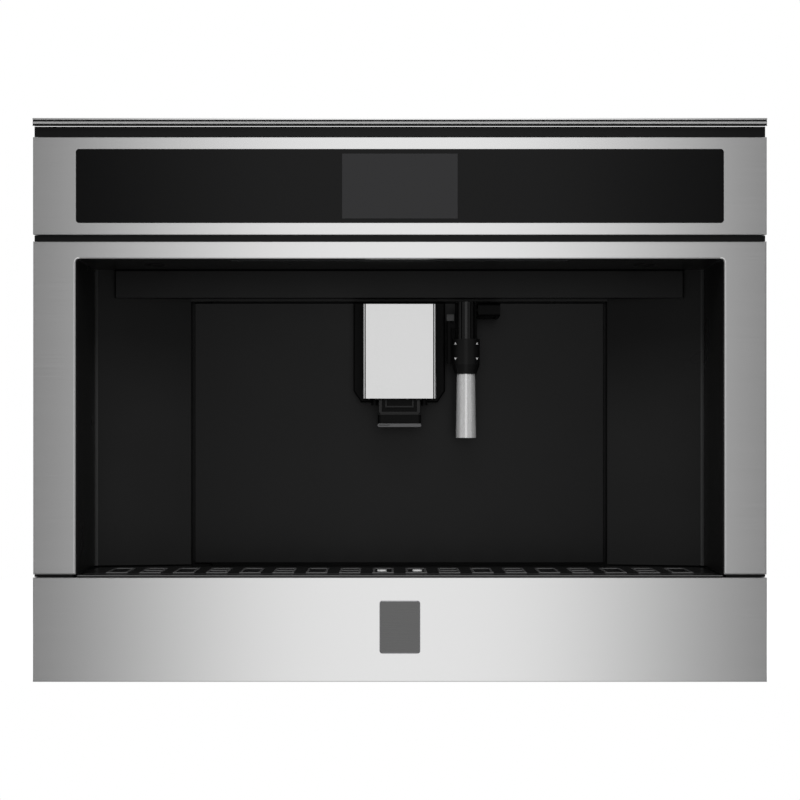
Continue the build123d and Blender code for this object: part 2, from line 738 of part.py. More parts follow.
def niche_liner():
    """Moulded lining: sides, ceiling, angled rear corners and the door's aperture."""
    outer_z = (NICHE_BOTTOM, NICHE_TOP + LINER_WALL)
    outer = plan_prism(mirrored(niche_plan(-LINER_WALL)), outer_z)
    inner = plan_prism(mirrored(niche_plan(0)), (NICHE_BOTTOM - OVER, NICHE_TOP))
    bends = upright_edges(inner).group_by(Axis.X)
    inner = fillet([rear_edge(bends[0]), rear_edge(bends[-1])], LINER_CORNER_R)
    mouth_x = (-NICHE_HALF - LINER_WALL - OVER, NICHE_HALF + LINER_WALL + OVER)
    above = NICHE_TOP + LINER_WALL + OVER
    mouth = block(mouth_x, (0, INNER_RETURN + CLEAR), (0, above))
    aperture_x = (-APERTURE_HALF, APERTURE_HALF)
    aperture_depth = (DOOR_DEPTH - LINER_WALL, DOOR_DEPTH + LINER_WALL + OVER)
    aperture = block(aperture_x, aperture_depth, (0, HEADER_Z - LINER_WALL))
    lens = block(grown(around(0, LENS_W), CLEAR), grown(LENS_DEPTH, CLEAR), (NICHE_TOP - OVER, above))
    caps = pair_fused(ceiling_cap())
    return outer - inner - mouth - aperture - lens + caps


def rear_edge(edges):
    return edges.sort_by(Axis.Y)[-1]


def ceiling_cap():
    """Low dome moulded on the ceiling over a hidden fixing."""
    root = NICHE_TOP + LINER_WALL / 2
    curve = [(share * CAP_R, NICHE_TOP - drop * CAP_DROP) for share, drop in CAP_DOME]
    dome = turned([(0, root), (CAP_R, root), *curve, (0, NICHE_TOP - CAP_DROP)])
    return standing(CAP_X, CAP_DEPTH, dome)


def header_panel():
    """Black header across the back of the ceiling, following the angled corners."""
    half = NICHE_HALF - HEADER_SIDE_GAP
    back = DOOR_DEPTH + HEADER_BACK
    bar = block((-half, half), (NICHE_DEPTH, back), (HEADER_Z, NICHE_TOP))
    bar = fillet(upright_edges(bar).group_by(Axis.Y)[0], HEADER_CORNER_R)
    cavity = plan_prism(mirrored(niche_plan(0)), (HEADER_Z - OVER, NICHE_TOP))
    hollow_x = (HEADER_END_L - half, half - HEADER_END_L)
    hollow_z = (HEADER_Z + LINER_WALL, NICHE_TOP + OVER)
    return bar & cavity - block(hollow_x, (NICHE_DEPTH + LINER_WALL, back), hollow_z)


def cup_light_lens():
    """Long dark lens let into the ceiling: a down-turned rear rim, and a flange on the lining."""
    x = around(0, LENS_W)
    seat = NICHE_TOP + LINER_WALL
    body = block(x, LENS_DEPTH, (NICHE_TOP + LENS_RECESS, seat))
    body += block(x, (LENS_DEPTH[1] - LENS_RIM, LENS_DEPTH[1]), (NICHE_TOP, seat))
    return body + block(grown(x, LENS_FLANGE), grown(LENS_DEPTH, LENS_FLANGE), (seat, seat + LENS_T))


# ---- Service door ----
def door_panel():
    """Ribbed door shell with hinge bosses at its left edge."""
    shell = block(DOOR_X, (DOOR_DEPTH, DOOR_DEPTH + DOOR_T), DOOR_Z)
    shell = fillet(front_edges(shell), DOOR_EDGE_R)
    inside_depth = (DOOR_DEPTH + DOOR_SKIN, DOOR_DEPTH + DOOR_T + OVER)
    shell -= block(grown(DOOR_X, -DOOR_SKIN), inside_depth, grown(DOOR_Z, -DOOR_SKIN))
    rib_depth = (DOOR_DEPTH + DOOR_SKIN, DOOR_DEPTH + DOOR_T - DOOR_RIB_SETBACK)
    half_ribs = int((DOOR_W / 2 - HINGE_BOSS_R - HINGE_INSET) / DOOR_RIB_PITCH)
    for i in range(-half_ribs, half_ribs + 1):
        shell += block(around(i * DOOR_RIB_PITCH, DOOR_RIB_T), rib_depth, grown(DOOR_Z, -SINK))
    shell += block(grown(DOOR_X, -SINK), rib_depth, around(sum(DOOR_Z) / 2, DOOR_RIB_T))
    for z in hinge_ends():
        shell += post(HINGE_X, HINGE_DEPTH, z, HINGE_BOSS_R)
        shell -= post(HINGE_X, HINGE_DEPTH, grown(z, OVER), HINGE_PIN_R)
    return shell + door_catch()


def door_catch():
    """Moulded catch at the door's free edge: a springy finger with a hooked end."""
    high = DOOR_X[1] - DOOR_SKIN - CATCH_INSET
    root = DOOR_DEPTH + DOOR_SKIN - SINK
    neck = BULKHEAD_DEPTH + BULKHEAD_T + CLEAR
    tip = neck + CATCH_HOOK
    z = around(sum(DOOR_Z) / 2 + CATCH_RISE, CATCH_H)
    narrow = grown(z, -CATCH_HOOK / 2)
    point = grown(narrow, -CATCH_HOOK)
    profile = [
        (root, z[0]), (neck, narrow[0]), (tip, point[0]),
        (tip, point[1]), (neck, narrow[1]), (root, z[1]),
    ]
    return side_prism(profile, (high - CATCH_T, high))


def hinge_ends():
    """Heights of the two hinge bosses inside the door."""
    return [(DOOR_Z[0], DOOR_Z[0] + HINGE_BOSS_L), (DOOR_Z[1] - HINGE_BOSS_L, DOOR_Z[1])]


def bracket_plates():
    """Heights of the two hinge bracket plates, below and above the door."""
    low = DOOR_Z[0] - BRACKET_GAP
    high = DOOR_Z[1] + BRACKET_GAP
    return [(low - BRACKET_T, low), (high, high + BRACKET_T)]


def door_hinge_pins():
    """Two steel pins, pressed into the door and running in the brackets."""
    bottom, top = bracket_plates()
    low = post(HINGE_X, HINGE_DEPTH, (bottom[0], hinge_ends()[0][1]), HINGE_PIN_R)
    high = post(HINGE_X, HINGE_DEPTH, (hinge_ends()[1][0], top[1]), HINGE_PIN_R)
    return Compound(children=[low, high])


def door_hinge_brackets():
    """Two steel angles from the bulkhead forward to the hinge pins."""
    plates = []
    x = around(HINGE_X, BRACKET_W)
    for z, upwards in zip(bracket_plates(), (False, True)):
        plate = block(x, (HINGE_DEPTH - BRACKET_NOSE, BULKHEAD_DEPTH), z)
        foot_z = (z[0], z[1] + BRACKET_FOOT_L) if upwards else (z[0] - BRACKET_FOOT_L, z[1])
        plate += block(x, (BULKHEAD_DEPTH - BRACKET_T, BULKHEAD_DEPTH), foot_z)
        bore = post(HINGE_X, HINGE_DEPTH, grown(z, OVER), HINGE_PIN_R + RUN_CLEAR)
        plates.append(plate - bore)
    return Compound(children=plates)


def bulkhead():
    """Inner sheet frame round the door, which carries the lining and the hinges."""
    x = grown((-BODY_HALF, BODY_HALF), -2 * SHEET - 2 * CLEAR)
    depth = (BULKHEAD_DEPTH, BULKHEAD_DEPTH + BULKHEAD_T)
    plate = block(x, depth, grown(BODY_Z, -SHEET - CLEAR))
    opening_z = (DOOR_Z[0] + BULKHEAD_SILL[0], DOOR_Z[1] - BULKHEAD_SILL[1])
    opening = block(grown(DOOR_X, -BULKHEAD_MARGIN), grown(depth, OVER), opening_z)
    notch_z = around(sum(DOOR_Z) / 2 + CATCH_RISE, CATCH_H + 2 * OVER)
    notch = block((0, DOOR_X[1] - DOOR_SKIN), grown(depth, OVER), notch_z)
    return plate - opening - notch + service_shelf()


def service_shelf():
    """Shelf folded back from the bulkhead, which carries the grounds box and the brewing unit."""
    left, right, rear = SHELF_REACH
    z = (brew_z()[0] - SHEET, brew_z()[0])
    x = (GROUNDS_X[0] - left, BREW_X[1] + right)
    depth = (BULKHEAD_DEPTH + BULKHEAD_T - SINK, GROUNDS_DEPTH[1] + rear)
    shelf = block(x, depth, z)
    for leg_x in ((x[0], x[0] + SHEET), (x[1] - SHEET, x[1])):
        shelf += block(leg_x, depth, (BODY_Z[0] + SHEET, z[1]))
    return shelf


# ---- Chassis ----
def chassis_base():
    """Floor pan with two upturned sides."""
    inner = BODY_HALF - SHEET - CLEAR
    depth = (BODY_DEPTH[0] + CLEAR, BODY_DEPTH[1] - SHEET - CLEAR)
    floor = block((-inner, inner), depth, (BODY_Z[0], BODY_Z[0] + SHEET))
    for x in ((-inner, -inner + SHEET), (inner - SHEET, inner)):
        floor += block(x, depth, (BODY_Z[0], BODY_Z[0] + FLANGE))
    guide = tray_guide()
    return floor + guide + other_side(guide)


def tray_guide():
    """Folded channel on the floor pan that carries one side of the drip tray drawer."""
    top = tray_bottom() - CLEAR
    root = BODY_Z[0] + SHEET - SINK
    x = (tray_half() - GUIDE_W, tray_half() + SLIDE_CLEAR)
    depth = (BODY_DEPTH[0] + CARRIER_LIFT, DOOR_DEPTH)
    shelf = block((x[0], x[1] + SHEET), depth, (top - SHEET, top))
    leg = block((x[0], x[0] + SHEET), depth, (root, top))
    fence = block((x[1], x[1] + SHEET), depth, (root, top + GUIDE_FENCE_H))
    return shelf + leg + fence


def side_panel():
    """Right-hand side sheet with a column of louvre slots and rail screw holes."""
    x = (BODY_HALF - SHEET, BODY_HALF)
    sheet = block(x, BODY_DEPTH, BODY_Z)
    rear_inset, top_inset = SIDE_LOUVRE_INSET
    slot_depth = around(BODY_DEPTH[1] - rear_inset, LOUVRE_SIZE[0])
    for i in range(LOUVRE_COUNT):
        slot_z = around(BODY_Z[1] - top_inset - i * LOUVRE_PITCH, LOUVRE_SIZE[1])
        sheet -= block(grown(x, OVER), slot_depth, slot_z)
    for depth in inner_screw_depths():
        sheet -= rod_x(grown(x, OVER), depth, RAIL_CENTRE_Z, RAIL_SCREW_R + CLEAR)
    return sheet


def side_panel_left():
    return other_side(side_panel())


def rear_panel():
    """Rear sheet folded forward, with vents and the cut-outs for switch and inlet."""
    inner = BODY_HALF - SHEET - CLEAR
    depth = (BODY_DEPTH[1] - SHEET, BODY_DEPTH[1])
    z = (BODY_Z[0] + SHEET + CLEAR, BODY_Z[1] - COVER_T - CLEAR)
    panel = block((-inner, inner), depth, z)
    panel += block((-inner, inner), (depth[0] - FLANGE, depth[1]), (z[1] - SHEET, z[1]))
    through = grown(depth, OVER)
    for row in range(LOUVRE_COUNT):
        slot_z = around(BODY_Z[1] - REAR_LOUVRE_DROP - row * LOUVRE_PITCH, LOUVRE_SIZE[1])
        for column in (-1, 0, 1):
            slot_x = around(column * (LOUVRE_SIZE[0] + LOUVRE_COLUMN_GAP), LOUVRE_SIZE[0])
            panel -= block(slot_x, through, slot_z)
    panel -= block(around(SWITCH_X, SWITCH_SIZE[0]), through, around(SWITCH_Z, SWITCH_SIZE[1]))
    panel -= block(around(INLET_X, INLET_SIZE[0]), through, around(SWITCH_Z, INLET_SIZE[1]))
    return panel


def top_cover():
    """Top sheet with openings for the bean lid, chute, tank and grind knob."""
    z = (BODY_Z[1] - COVER_T, BODY_Z[1])
    inner = BODY_HALF - SHEET - CLEAR
    sheet = block((-inner, inner), (BODY_DEPTH[0] + CLEAR, BODY_DEPTH[1] - SHEET - CLEAR), z)
    hinge_room = LID_PIN_BACK + LID_BARREL_R + OVER
    for x, depth in ((HOPPER_X, HOPPER_DEPTH), (CHUTE_X, CHUTE_DEPTH)):
        opening = (depth[0] - CLEAR, depth[1] + hinge_room)
        sheet -= block(grown(x, CLEAR), opening, grown(z, OVER))
    sheet -= block(grown(tank_x(), TANK_ROOM), grown(tank_depth(), TANK_ROOM), grown(z, OVER))
    return sheet - post(KNOB_X, KNOB_DEPTH, grown(z, OVER), KNOB_R + KNOB_ROOM)


def feet():
    """Four rubber feet under the floor pan."""
    foot = Cone(FOOT_R - FOOT_TAPER, FOOT_R, FOOT_H, align=LOW)
    solids = []
    for x in (-BODY_HALF + FOOT_INSET, BODY_HALF - FOOT_INSET):
        for depth in (BODY_DEPTH[0] + FOOT_INSET, BODY_DEPTH[1] - FOOT_INSET):
            solids.append(standing(x, depth, foot))
    return Compound(children=solids)


# ---- Telescopic rails ----
def rail_channel(member, depth):
    """Right-hand C-section: member 0 is the cabinet's, 1 the middle and 2 the machine's."""
    height = RAIL_H - 2 * member * (SHEET + BALL_D)
    z = around(RAIL_CENTRE_Z, height)
    outermost = BODY_HALF + RAIL_W + CLEAR
    webs = (outermost, outermost - SHEET - RAIL_WEB_GAP, BODY_HALF + SHEET)
    web = (webs[member] - SHEET, webs[member])
    outer_gap, middle_gap = RAIL_LIP_GAPS
    lips = (
        (BODY_HALF + outer_gap, web[1]),
        (BODY_HALF + middle_gap, web[1]),
        (web[0], BODY_HALF + RAIL_INNER_W),
    )
    channel = block(web, depth, z)
    channel += block(lips[member], depth, (z[0], z[0] + SHEET))
    return channel + block(lips[member], depth, (z[1] - SHEET, z[1]))


def inner_screw_depths():
    return [RAIL_START + RAIL_SCREW_INSET, RAIL_START + RAIL_INNER_L - RAIL_SCREW_INSET]


def pair(shape):
    """A shape and its mirror image, as two solids."""
    return Compound(children=[shape, other_side(shape)])


def pair_fused(shape):
    """A shape and its mirror image, to be joined to another."""
    return shape + other_side(shape)


def rail_outers():
    channel = rail_channel(0, (RAIL_START, RAIL_START + RAIL_L))
    across = (BODY_HALF + RAIL_INNER_W, BODY_HALF + RAIL_W + SHEET)
    for depth in (RAIL_HOLE_FIRST, RAIL_HOLE_FIRST + RAIL_HOLE_PITCH):
        channel -= rod_x(across, depth, RAIL_CENTRE_Z, RAIL_HOLE_R)
    return pair(channel)


def rail_middles():
    return pair(rail_channel(1, (RAIL_START, RAIL_START + RAIL_INNER_L)))


def rail_inners():
    channel = rail_channel(2, (RAIL_START, RAIL_START + RAIL_INNER_L))
    across = (BODY_HALF - OVER, BODY_HALF + SHEET + OVER)
    for depth in inner_screw_depths():
        channel -= rod_x(across, depth, RAIL_CENTRE_Z, RAIL_SCREW_R + CLEAR)
    return pair(channel)


def fixing_screws():
    """Loose fasteners: the inner rails' screws and the top cover's screws."""
    solids = []
    side = BODY_HALF + SHEET
    for depth in inner_screw_depths():
        screw = rod_x((side, side + RAIL_SCREW_HEAD), depth, RAIL_CENTRE_Z, 2 * RAIL_SCREW_R)
        screw += rod_x((BODY_HALF - RAIL_SCREW_L, side), depth, RAIL_CENTRE_Z, RAIL_SCREW_R)
        solids += [screw, other_side(screw)]
    side_inset, front_inset = COVER_SCREW_INSET
    low = BODY_Z[1]
    for x in (-BODY_HALF + side_inset, 0, BODY_HALF - side_inset):
        head = turned([
            (0, low), (COVER_SCREW_R, low), (COVER_SCREW_R, low + COVER_SCREW_H - COVER_SCREW_EDGE),
            (COVER_SCREW_R - COVER_SCREW_EDGE, low + COVER_SCREW_H), (0, low + COVER_SCREW_H),
        ])
        solids.append(standing(x, BODY_DEPTH[0] + front_inset, head))
    return Compound(children=solids)


# ---- Drip tray and cup grate ----
def tray_half():
    return NICHE_HALF - TRAY_SIDE_GAP - TRAY_LIP_OVERHANG


def tray_bottom():
    return lip_z()[0] - TRAY_H


def lip_z():
    """The tray's lip lies in the reveal above the lower panel."""
    low = PANEL_Z[1] + TRAY_LIP_LIFT
    return (low, low + TRAY_LIP_T)


def tray_plan(inset, front):
    """Half plan of the tray: straight sides, then drawn in along the niche's rear corners."""
    side = NICHE_HALF - TRAY_SIDE_GAP - inset
    bend = NICHE_DEPTH - TRAY_BEND_GAP - inset
    rear = DOOR_DEPTH - TRAY_BACK_GAP - inset
    return [(side, front), (side, bend), (APERTURE_HALF - inset / 2, rear)]


def drip_tray():
    """Deep tray whose thin lip lies over the lower panel; ribs in front carry that panel."""
    bottom = tray_bottom()
    low, high = lip_z()
    wall_front = FRONT_T + OVER
    inside = TRAY_LIP_OVERHANG + TRAY_WALL
    seat_step = GRATE_BEARING + CLEAR
    basin = plan_prism(mirrored(tray_plan(TRAY_LIP_OVERHANG, wall_front)), (bottom, low))
    cavity_plan = mirrored(tray_plan(inside, wall_front + TRAY_WALL))
    cavity = plan_prism(cavity_plan, (bottom + TRAY_WALL, low + OVER))
    lip = plan_prism(mirrored(tray_plan(0, TRAY_LIP_FRONT)), (low, high))
    seat_plan = mirrored(tray_plan(inside - seat_step, wall_front + TRAY_WALL - seat_step))
    tray = basin - cavity + (lip - plan_prism(seat_plan, (low, high + OVER)))
    rib_z = (PANEL_Z[0] + TRAY_RIB_Z[0], PANEL_Z[1] + TRAY_RIB_Z[1])
    for x in TRAY_RIB_X:
        tray += block(around(x, TRAY_RIB_T), (SHEET + TRAY_LIP_LIFT, wall_front + SINK), rib_z)
    return tray


def grate_outline():
    inset = TRAY_LIP_OVERHANG + TRAY_WALL - GRATE_BEARING
    return tray_plan(inset, FRONT_T + OVER + TRAY_WALL - GRATE_BEARING)


def grate_cells():
    """Place and length of the grate's openings: one long or two short ones a column, by turns."""
    side, first = grate_outline()[0]
    bend = grate_outline()[1][1]
    rear_side, rear = grate_outline()[2]
    room = GRATE_MARGIN + GRATE_RIM_W
    width, length = GRATE_HOLE
    near = first + room + length / 2
    columns = int((side - room - width / 2) / GRATE_PITCH_X + 0.5)
    for i in range(columns):
        x = (i + 0.5) * GRATE_PITCH_X
        back = (rear if x < rear_side - width else bend) - room
        cells = [(near + GRATE_PITCH_Y / 2, GRATE_LONG_HOLE)]
        if i % 2:
            cells = [(near, length), (near + GRATE_PITCH_Y, length)]
        for depth, hole in cells:
            if depth + hole / 2 <= back:
                yield x, depth, hole
                yield -x, depth, hole


def cup_grate():
    """Stamped grate: a plate with framed openings, and a bridge across every long one."""
    low = lip_z()[0]
    top = low + GRATE_T
    grate = plan_prism(mirrored(grate_outline()), (low, top))
    width = GRATE_HOLE[0]
    rims, holes, bridges = [], [], []
    for x, depth, length in grate_cells():
        outer_x = around(x, width + 2 * GRATE_RIM_W)
        outer_depth = around(depth, length + 2 * GRATE_RIM_W)
        rim = block(outer_x, outer_depth, (top - GRATE_RIM_ROOT, top + GRATE_RIM_H))
        rims.append(chamfer(rim.edges().group_by(Axis.Z)[-1], GRATE_RIM_EDGE))
        holes.append(block(around(x, width), around(depth, length), (low - OVER, top + 2 * OVER)))
        if length > GRATE_HOLE[1]:
            bridges.append(block(around(x, width + OVER), around(depth, GRATE_BRIDGE), (low, top)))
    return grate + rims - holes + bridges


def cup_mark_place():
    """Middle of the first long opening, on its bridge."""
    x, depth, _ = next(grate_cells())
    return x + CUP_MARK_OUT, depth


def cup_marks():
    """Two white discs let on to the grate that show where the cups stand."""
    low = lip_z()[0] + GRATE_T
    x, depth = cup_mark_place()
    return pair(post(x, depth, (low, low + CUP_MARK_T), CUP_MARK_R))


# ---- Coffee spout ----
def spout_z():
    top = DOOR_Z[1] - SPOUT_TOP_GAP
    return (top - SPOUT_PLATE_H, top)


def spout_guide():
    """Tapered housing on the door with the T-rail that the spout slides on."""
    top = DOOR_Z[1] - GUIDE_TOP_GAP
    low = top - GUIDE_H
    half = GUIDE_HALF
    taper_x, taper_z = GUIDE_CHAMFER
    outline = [
        (half, top), (half, low + taper_z), (half - taper_x, low),
        (-half + taper_x, low), (-half, low + taper_z), (-half, top),
    ]
    housing = front_prism(outline, (GUIDE_FACE_DEPTH, DOOR_DEPTH))
    housing = fillet(front_edges(housing), GUIDE_EDGE_R)
    stem_start = GUIDE_FACE_DEPTH - TEE_STEM_T
    rail_z = (low + TEE_ENDS[0], top + TEE_ENDS[1])
    stem = block((-TEE_STEM_HALF, TEE_STEM_HALF), (stem_start, GUIDE_FACE_DEPTH + SINK), rail_z)
    head = block((-TEE_HEAD_HALF, TEE_HEAD_HALF), (stem_start - TEE_HEAD_T, stem_start), rail_z)
    return housing + stem + head


def spout_plate():
    """Brushed front plate folded round the spout, with a groove along each side."""
    x = around(0, SPOUT_PLATE_W)
    z = spout_z()
    depth = (SPOUT_FACE_DEPTH, SPOUT_FACE_DEPTH + SPOUT_CHEEK_L)
    plate = block(x, depth, z)
    plate = fillet(upright_edges(plate).group_by(Axis.Y)[0], SPOUT_CORNER_R)
    inside = (depth[0] + SPOUT_PLATE_T, depth[1] + OVER)
    plate -= block(grown(x, -SPOUT_PLATE_T), inside, grown(z, OVER))
    groove_depth = (depth[0] - OVER, depth[0] + SPOUT_GROOVE)
    for groove_x in grown(x, -SPOUT_GROOVE_INSET):
        plate -= block(around(groove_x, SPOUT_GROOVE), groove_depth, grown(z, OVER))
    return plate


def spout_shell():
    """Moulded spout body with the T-slot at its back and two lugs below."""
    x = grown(around(0, SPOUT_PLATE_W), -SPOUT_PLATE_T)
    z = grown(spout_z(), -SPOUT_END_GAP)
    back = GUIDE_FACE_DEPTH - SLIDE_CLEAR
    body = block(x, (SPOUT_FACE_DEPTH + SPOUT_PLATE_T, back), z)
    stem = grown((-TEE_STEM_HALF, TEE_STEM_HALF), SLIDE_CLEAR)
    head = grown((-TEE_HEAD_HALF, TEE_HEAD_HALF), SLIDE_CLEAR)
    head_back = GUIDE_FACE_DEPTH - TEE_STEM_T
    head_depth = grown((head_back - TEE_HEAD_T, head_back), SLIDE_CLEAR)
    body -= block(stem, (head_depth[0] + OVER, back + OVER), grown(z, OVER))
    body -= block(head, head_depth, grown(z, OVER))
    lug_z = (z[0] - LOBE_H, z[0] + SINK)
    for lug_x in (-LOBE_X, LOBE_X):
        body += post(lug_x, SPOUT_FACE_DEPTH + LOBE_SETBACK, lug_z, LOBE_R)
    return body


def nozzle_z():
    high = spout_z()[0] + SPOUT_END_GAP
    return (high - NOZZLE_BLOCK_H, high)


def skirt_z():
    return (nozzle_z()[0] - SKIRT_H, nozzle_z()[0] + SINK)


def skirt_depth():
    return (SPOUT_FACE_DEPTH + NOZZLE_FRONT - SKIRT_PROUD, GUIDE_FACE_DEPTH - NOZZLE_REAR + SKIRT_PROUD)


def spout_nozzles():
    """Twin outlet: a recessed block, two tapered nozzles, and the skirt round them."""
    z = nozzle_z()
    depth = (SPOUT_FACE_DEPTH + NOZZLE_FRONT, GUIDE_FACE_DEPTH - NOZZLE_REAR)
    body = block(around(0, NOZZLE_BLOCK_W), depth, z)
    body = chamfer(body.edges().filter_by(Axis.Y).group_by(Axis.Z)[0], NOZZLE_EDGE)
    floor = depth[0] + NOZZLE_RECESS
    recess_x = grown(around(0, NOZZLE_BLOCK_W), -NOZZLE_RIM)
    body -= block(recess_x, (depth[0] - OVER, floor), (z[0] + NOZZLE_RIM, z[1] + OVER))
    body += nozzle_frame(depth[0], floor)
    centre = sum(depth) / 2
    tip = skirt_z()[0] + OVER
    for x in (-NOZZLE_SPACING / 2, NOZZLE_SPACING / 2):
        outlet = Cone(NOZZLE_R - NOZZLE_TAPER, NOZZLE_R, z[0] - tip, align=LOW)
        body += Pos(x, FRONT_Y + centre, tip) * outlet
        body -= post(x, centre, (tip - OVER, z[0] + SKIRT_WALL), NOZZLE_BORE_R)
    return body + nozzle_skirt()


def nozzle_frame(front, floor):
    """Small U-shaped frame inside the block's recess."""
    x = around(0, NOZZLE_FRAME_W)
    z = (nozzle_z()[0] + NOZZLE_FRAME_LIFT, nozzle_z()[1])
    depth = (front + SINK, floor + SINK)
    return block(x, depth, z) - block(grown(x, -SHEET), grown(depth, OVER), (z[0] + SHEET, z[1] + OVER))


def nozzle_skirt():
    """Rounded skirt that hides the nozzles, with the holes for the grip's pegs."""
    x = around(0, SKIRT_W)
    skirt = fillet(upright_edges(block(x, skirt_depth(), skirt_z())), SKIRT_CORNER_R)
    inside_x = grown(x, -SKIRT_WALL)
    skirt -= block(inside_x, grown(skirt_depth(), -SKIRT_WALL), grown(skirt_z(), OVER))
    for peg_x in (-GRIP_PEG_X, GRIP_PEG_X):
        skirt -= grip_peg(peg_x, RUN_CLEAR)
    return skirt


def grip_peg(x, spare):
    low = skirt_z()[0]
    depth = skirt_depth()[0] + SKIRT_WALL / 2
    return post(x, depth, (low - SINK, low + GRIP_PEG_L + spare), GRIP_PEG_R + spare)


def spout_grip():
    """Rounded bar under the skirt, pegged into it, that is pulled to set the height."""
    high = skirt_z()[0] - RUN_CLEAR
    z = (high - GRIP_BAR_H, high)
    front = skirt_depth()[0] - OVER
    x = around(0, SKIRT_W)
    bar = block(x, (front, front + GRIP_BAR_T), z)
    bar = fillet(bar.edges().filter_by(Axis.Y), GRIP_BAR_H / 2 - RUN_CLEAR)
    slot_l, slot_h = GRIP_SLOT
    slot_x = (x[0] + slot_h, x[0] + slot_h + slot_l)
    bar -= block(slot_x, (front - OVER, front + slot_h), around(sum(z) / 2, slot_h))
    return bar + grip_peg(-GRIP_PEG_X, 0) + grip_peg(GRIP_PEG_X, 0)


# ---- Milk frother wand ----
def pivot_z():
    return DOOR_Z[1] - WAND_TOP_GAP - WAND_PIVOT_DROP


def ring_top():
    return DOOR_Z[1] - RING_TOP_DROP


def ring_bottom():
    return ring_top() - RING_CYL_H - RING_CONE_H


def wand_bracket():
    """Arm from the door beside the wand, with the pivot pin moulded in."""
    start = WAND_X + WAND_RIB_R + WAND_BRACKET_GAP
    x = (start, start + WAND_BRACKET_W)
    z = around(pivot_z(), WAND_BRACKET_H)
    arm = block(x, (WAND_DEPTH - WAND_BRACKET_T, DOOR_DEPTH), z)
    arm = fillet(arm.edges().filter_by(Axis.X).group_by(Axis.Y)[0], WAND_BRACKET_R)
    wall = WAND_BRACKET_WALL
    pocket_depth = (WAND_DEPTH + 2 * wall, DOOR_DEPTH - wall)
    pocket = block(grown(x, -wall), pocket_depth, (z[0] - OVER, z[1] - wall))
    pin_x = (WAND_X - WAND_PIN_REACH, x[0] + OVER)
    return arm - pocket + rod_x(pin_x, WAND_DEPTH, pivot_z(), WAND_PIN_R)


def wand_arm():
    """Ribbed grip of the wand, with the pin's bore across its head."""
    low = ring_top() - WAND_ARM_SINK
    z = (low, low + WAND_ARM_L)
    core = post(WAND_X, WAND_DEPTH, z, WAND_CORE_R)
    rib = Box(WAND_RIB_R + OVER, WAND_RIB_W, WAND_ARM_L, align=(Align.MIN, Align.CENTER, Align.MIN))
    rib = Pos(0, 0, low) * Rot(0, 0, WAND_RIB_TURN) * rib
    for i in range(WAND_RIB_COUNT):
        core += standing(WAND_X, WAND_DEPTH, Rot(0, 0, 360 / WAND_RIB_COUNT * i) * rib)
    core = core & post(WAND_X, WAND_DEPTH, z, WAND_RIB_R)
    bore_x = (WAND_X - WAND_PIN_REACH - SLIDE_CLEAR, WAND_X + WAND_RIB_R + OVER)
    return core - rod_x(bore_x, WAND_DEPTH, pivot_z(), WAND_PIN_R + RUN_CLEAR)


def steam_tube():
    """Steel steam tube down the wand's middle, open at its tip."""
    z = (sleeve_z()[0] + TUBE_LIFT, ring_top() - WAND_ARM_SINK)
    bore = post(WAND_X, WAND_DEPTH, (z[0] - OVER, z[1] - TUBE_CAP), TUBE_BORE_R)
    return post(WAND_X, WAND_DEPTH, z, TUBE_R) - bore


def wand_tab():
    """Finger tab beside the wand, on a short foot that meets its core."""
    high = ring_top() + TAB_RISE
    z = (high - TAB_H, high)
    depth = around(WAND_DEPTH, TAB_T)
    bar = fillet(upright_edges(block(TAB_X, depth, z)), OVER)
    knob_x = (TAB_X[0], TAB_X[0] + TAB_KNOB_W)
    knob = block(knob_x, grown(depth, OVER), (high, high + TAB_KNOB_H))
    foot_x = (TAB_X[0] + OVER, WAND_X - WAND_CORE_R + SINK)
    foot = block(foot_x, depth, (high - TAB_FOOT[0], high - TAB_FOOT[1]))
    return bar + knob + foot - post(WAND_X, WAND_DEPTH, grown(z, OVER), WAND_RIB_R)


def selector_ring():
    """Sliding ring over the wand's lower end, coned towards the frother sleeve."""
    bottom = ring_bottom()
    top = ring_top()
    floor = bottom + RING_FLOOR
    bore = WAND_RIB_R + RING_BORE_CLEAR
    neck = TUBE_R + RING_BORE_CLEAR
    body = turned([
        (neck, bottom), (RING_CONE_R, bottom), (RING_R, bottom + RING_CONE_H), (RING_R, top),
        (bore, top), (bore, floor), (neck, floor),
    ])
    return standing(WAND_X, WAND_DEPTH, body)


def sleeve_z():
    high = ring_bottom() - SLEEVE_GAP
    return (high - SLEEVE_L, high)


def frother_sleeve():
    """Stainless sleeve pushed over the steam tube: flared, with a collar inside its top."""
    low, high = sleeve_z()
    collar = TUBE_R + 2 * RUN_CLEAR
    shoulder = high - SLEEVE_COLLAR_H
    body = turned([
        (SLEEVE_BORE_R, low), (SLEEVE_BOTTOM_R, low), (SLEEVE_TOP_R, high), (collar, high),
        (collar, shoulder), (SLEEVE_BORE_R, shoulder - SLEEVE_COLLAR_SLOPE),
    ])
    return standing(WAND_X, WAND_DEPTH, body)


# ---- Beans, grinder and pre-ground chute ----
def lid_axis_z():
    return BODY_Z[1] + CLEAR + LID_T / 2


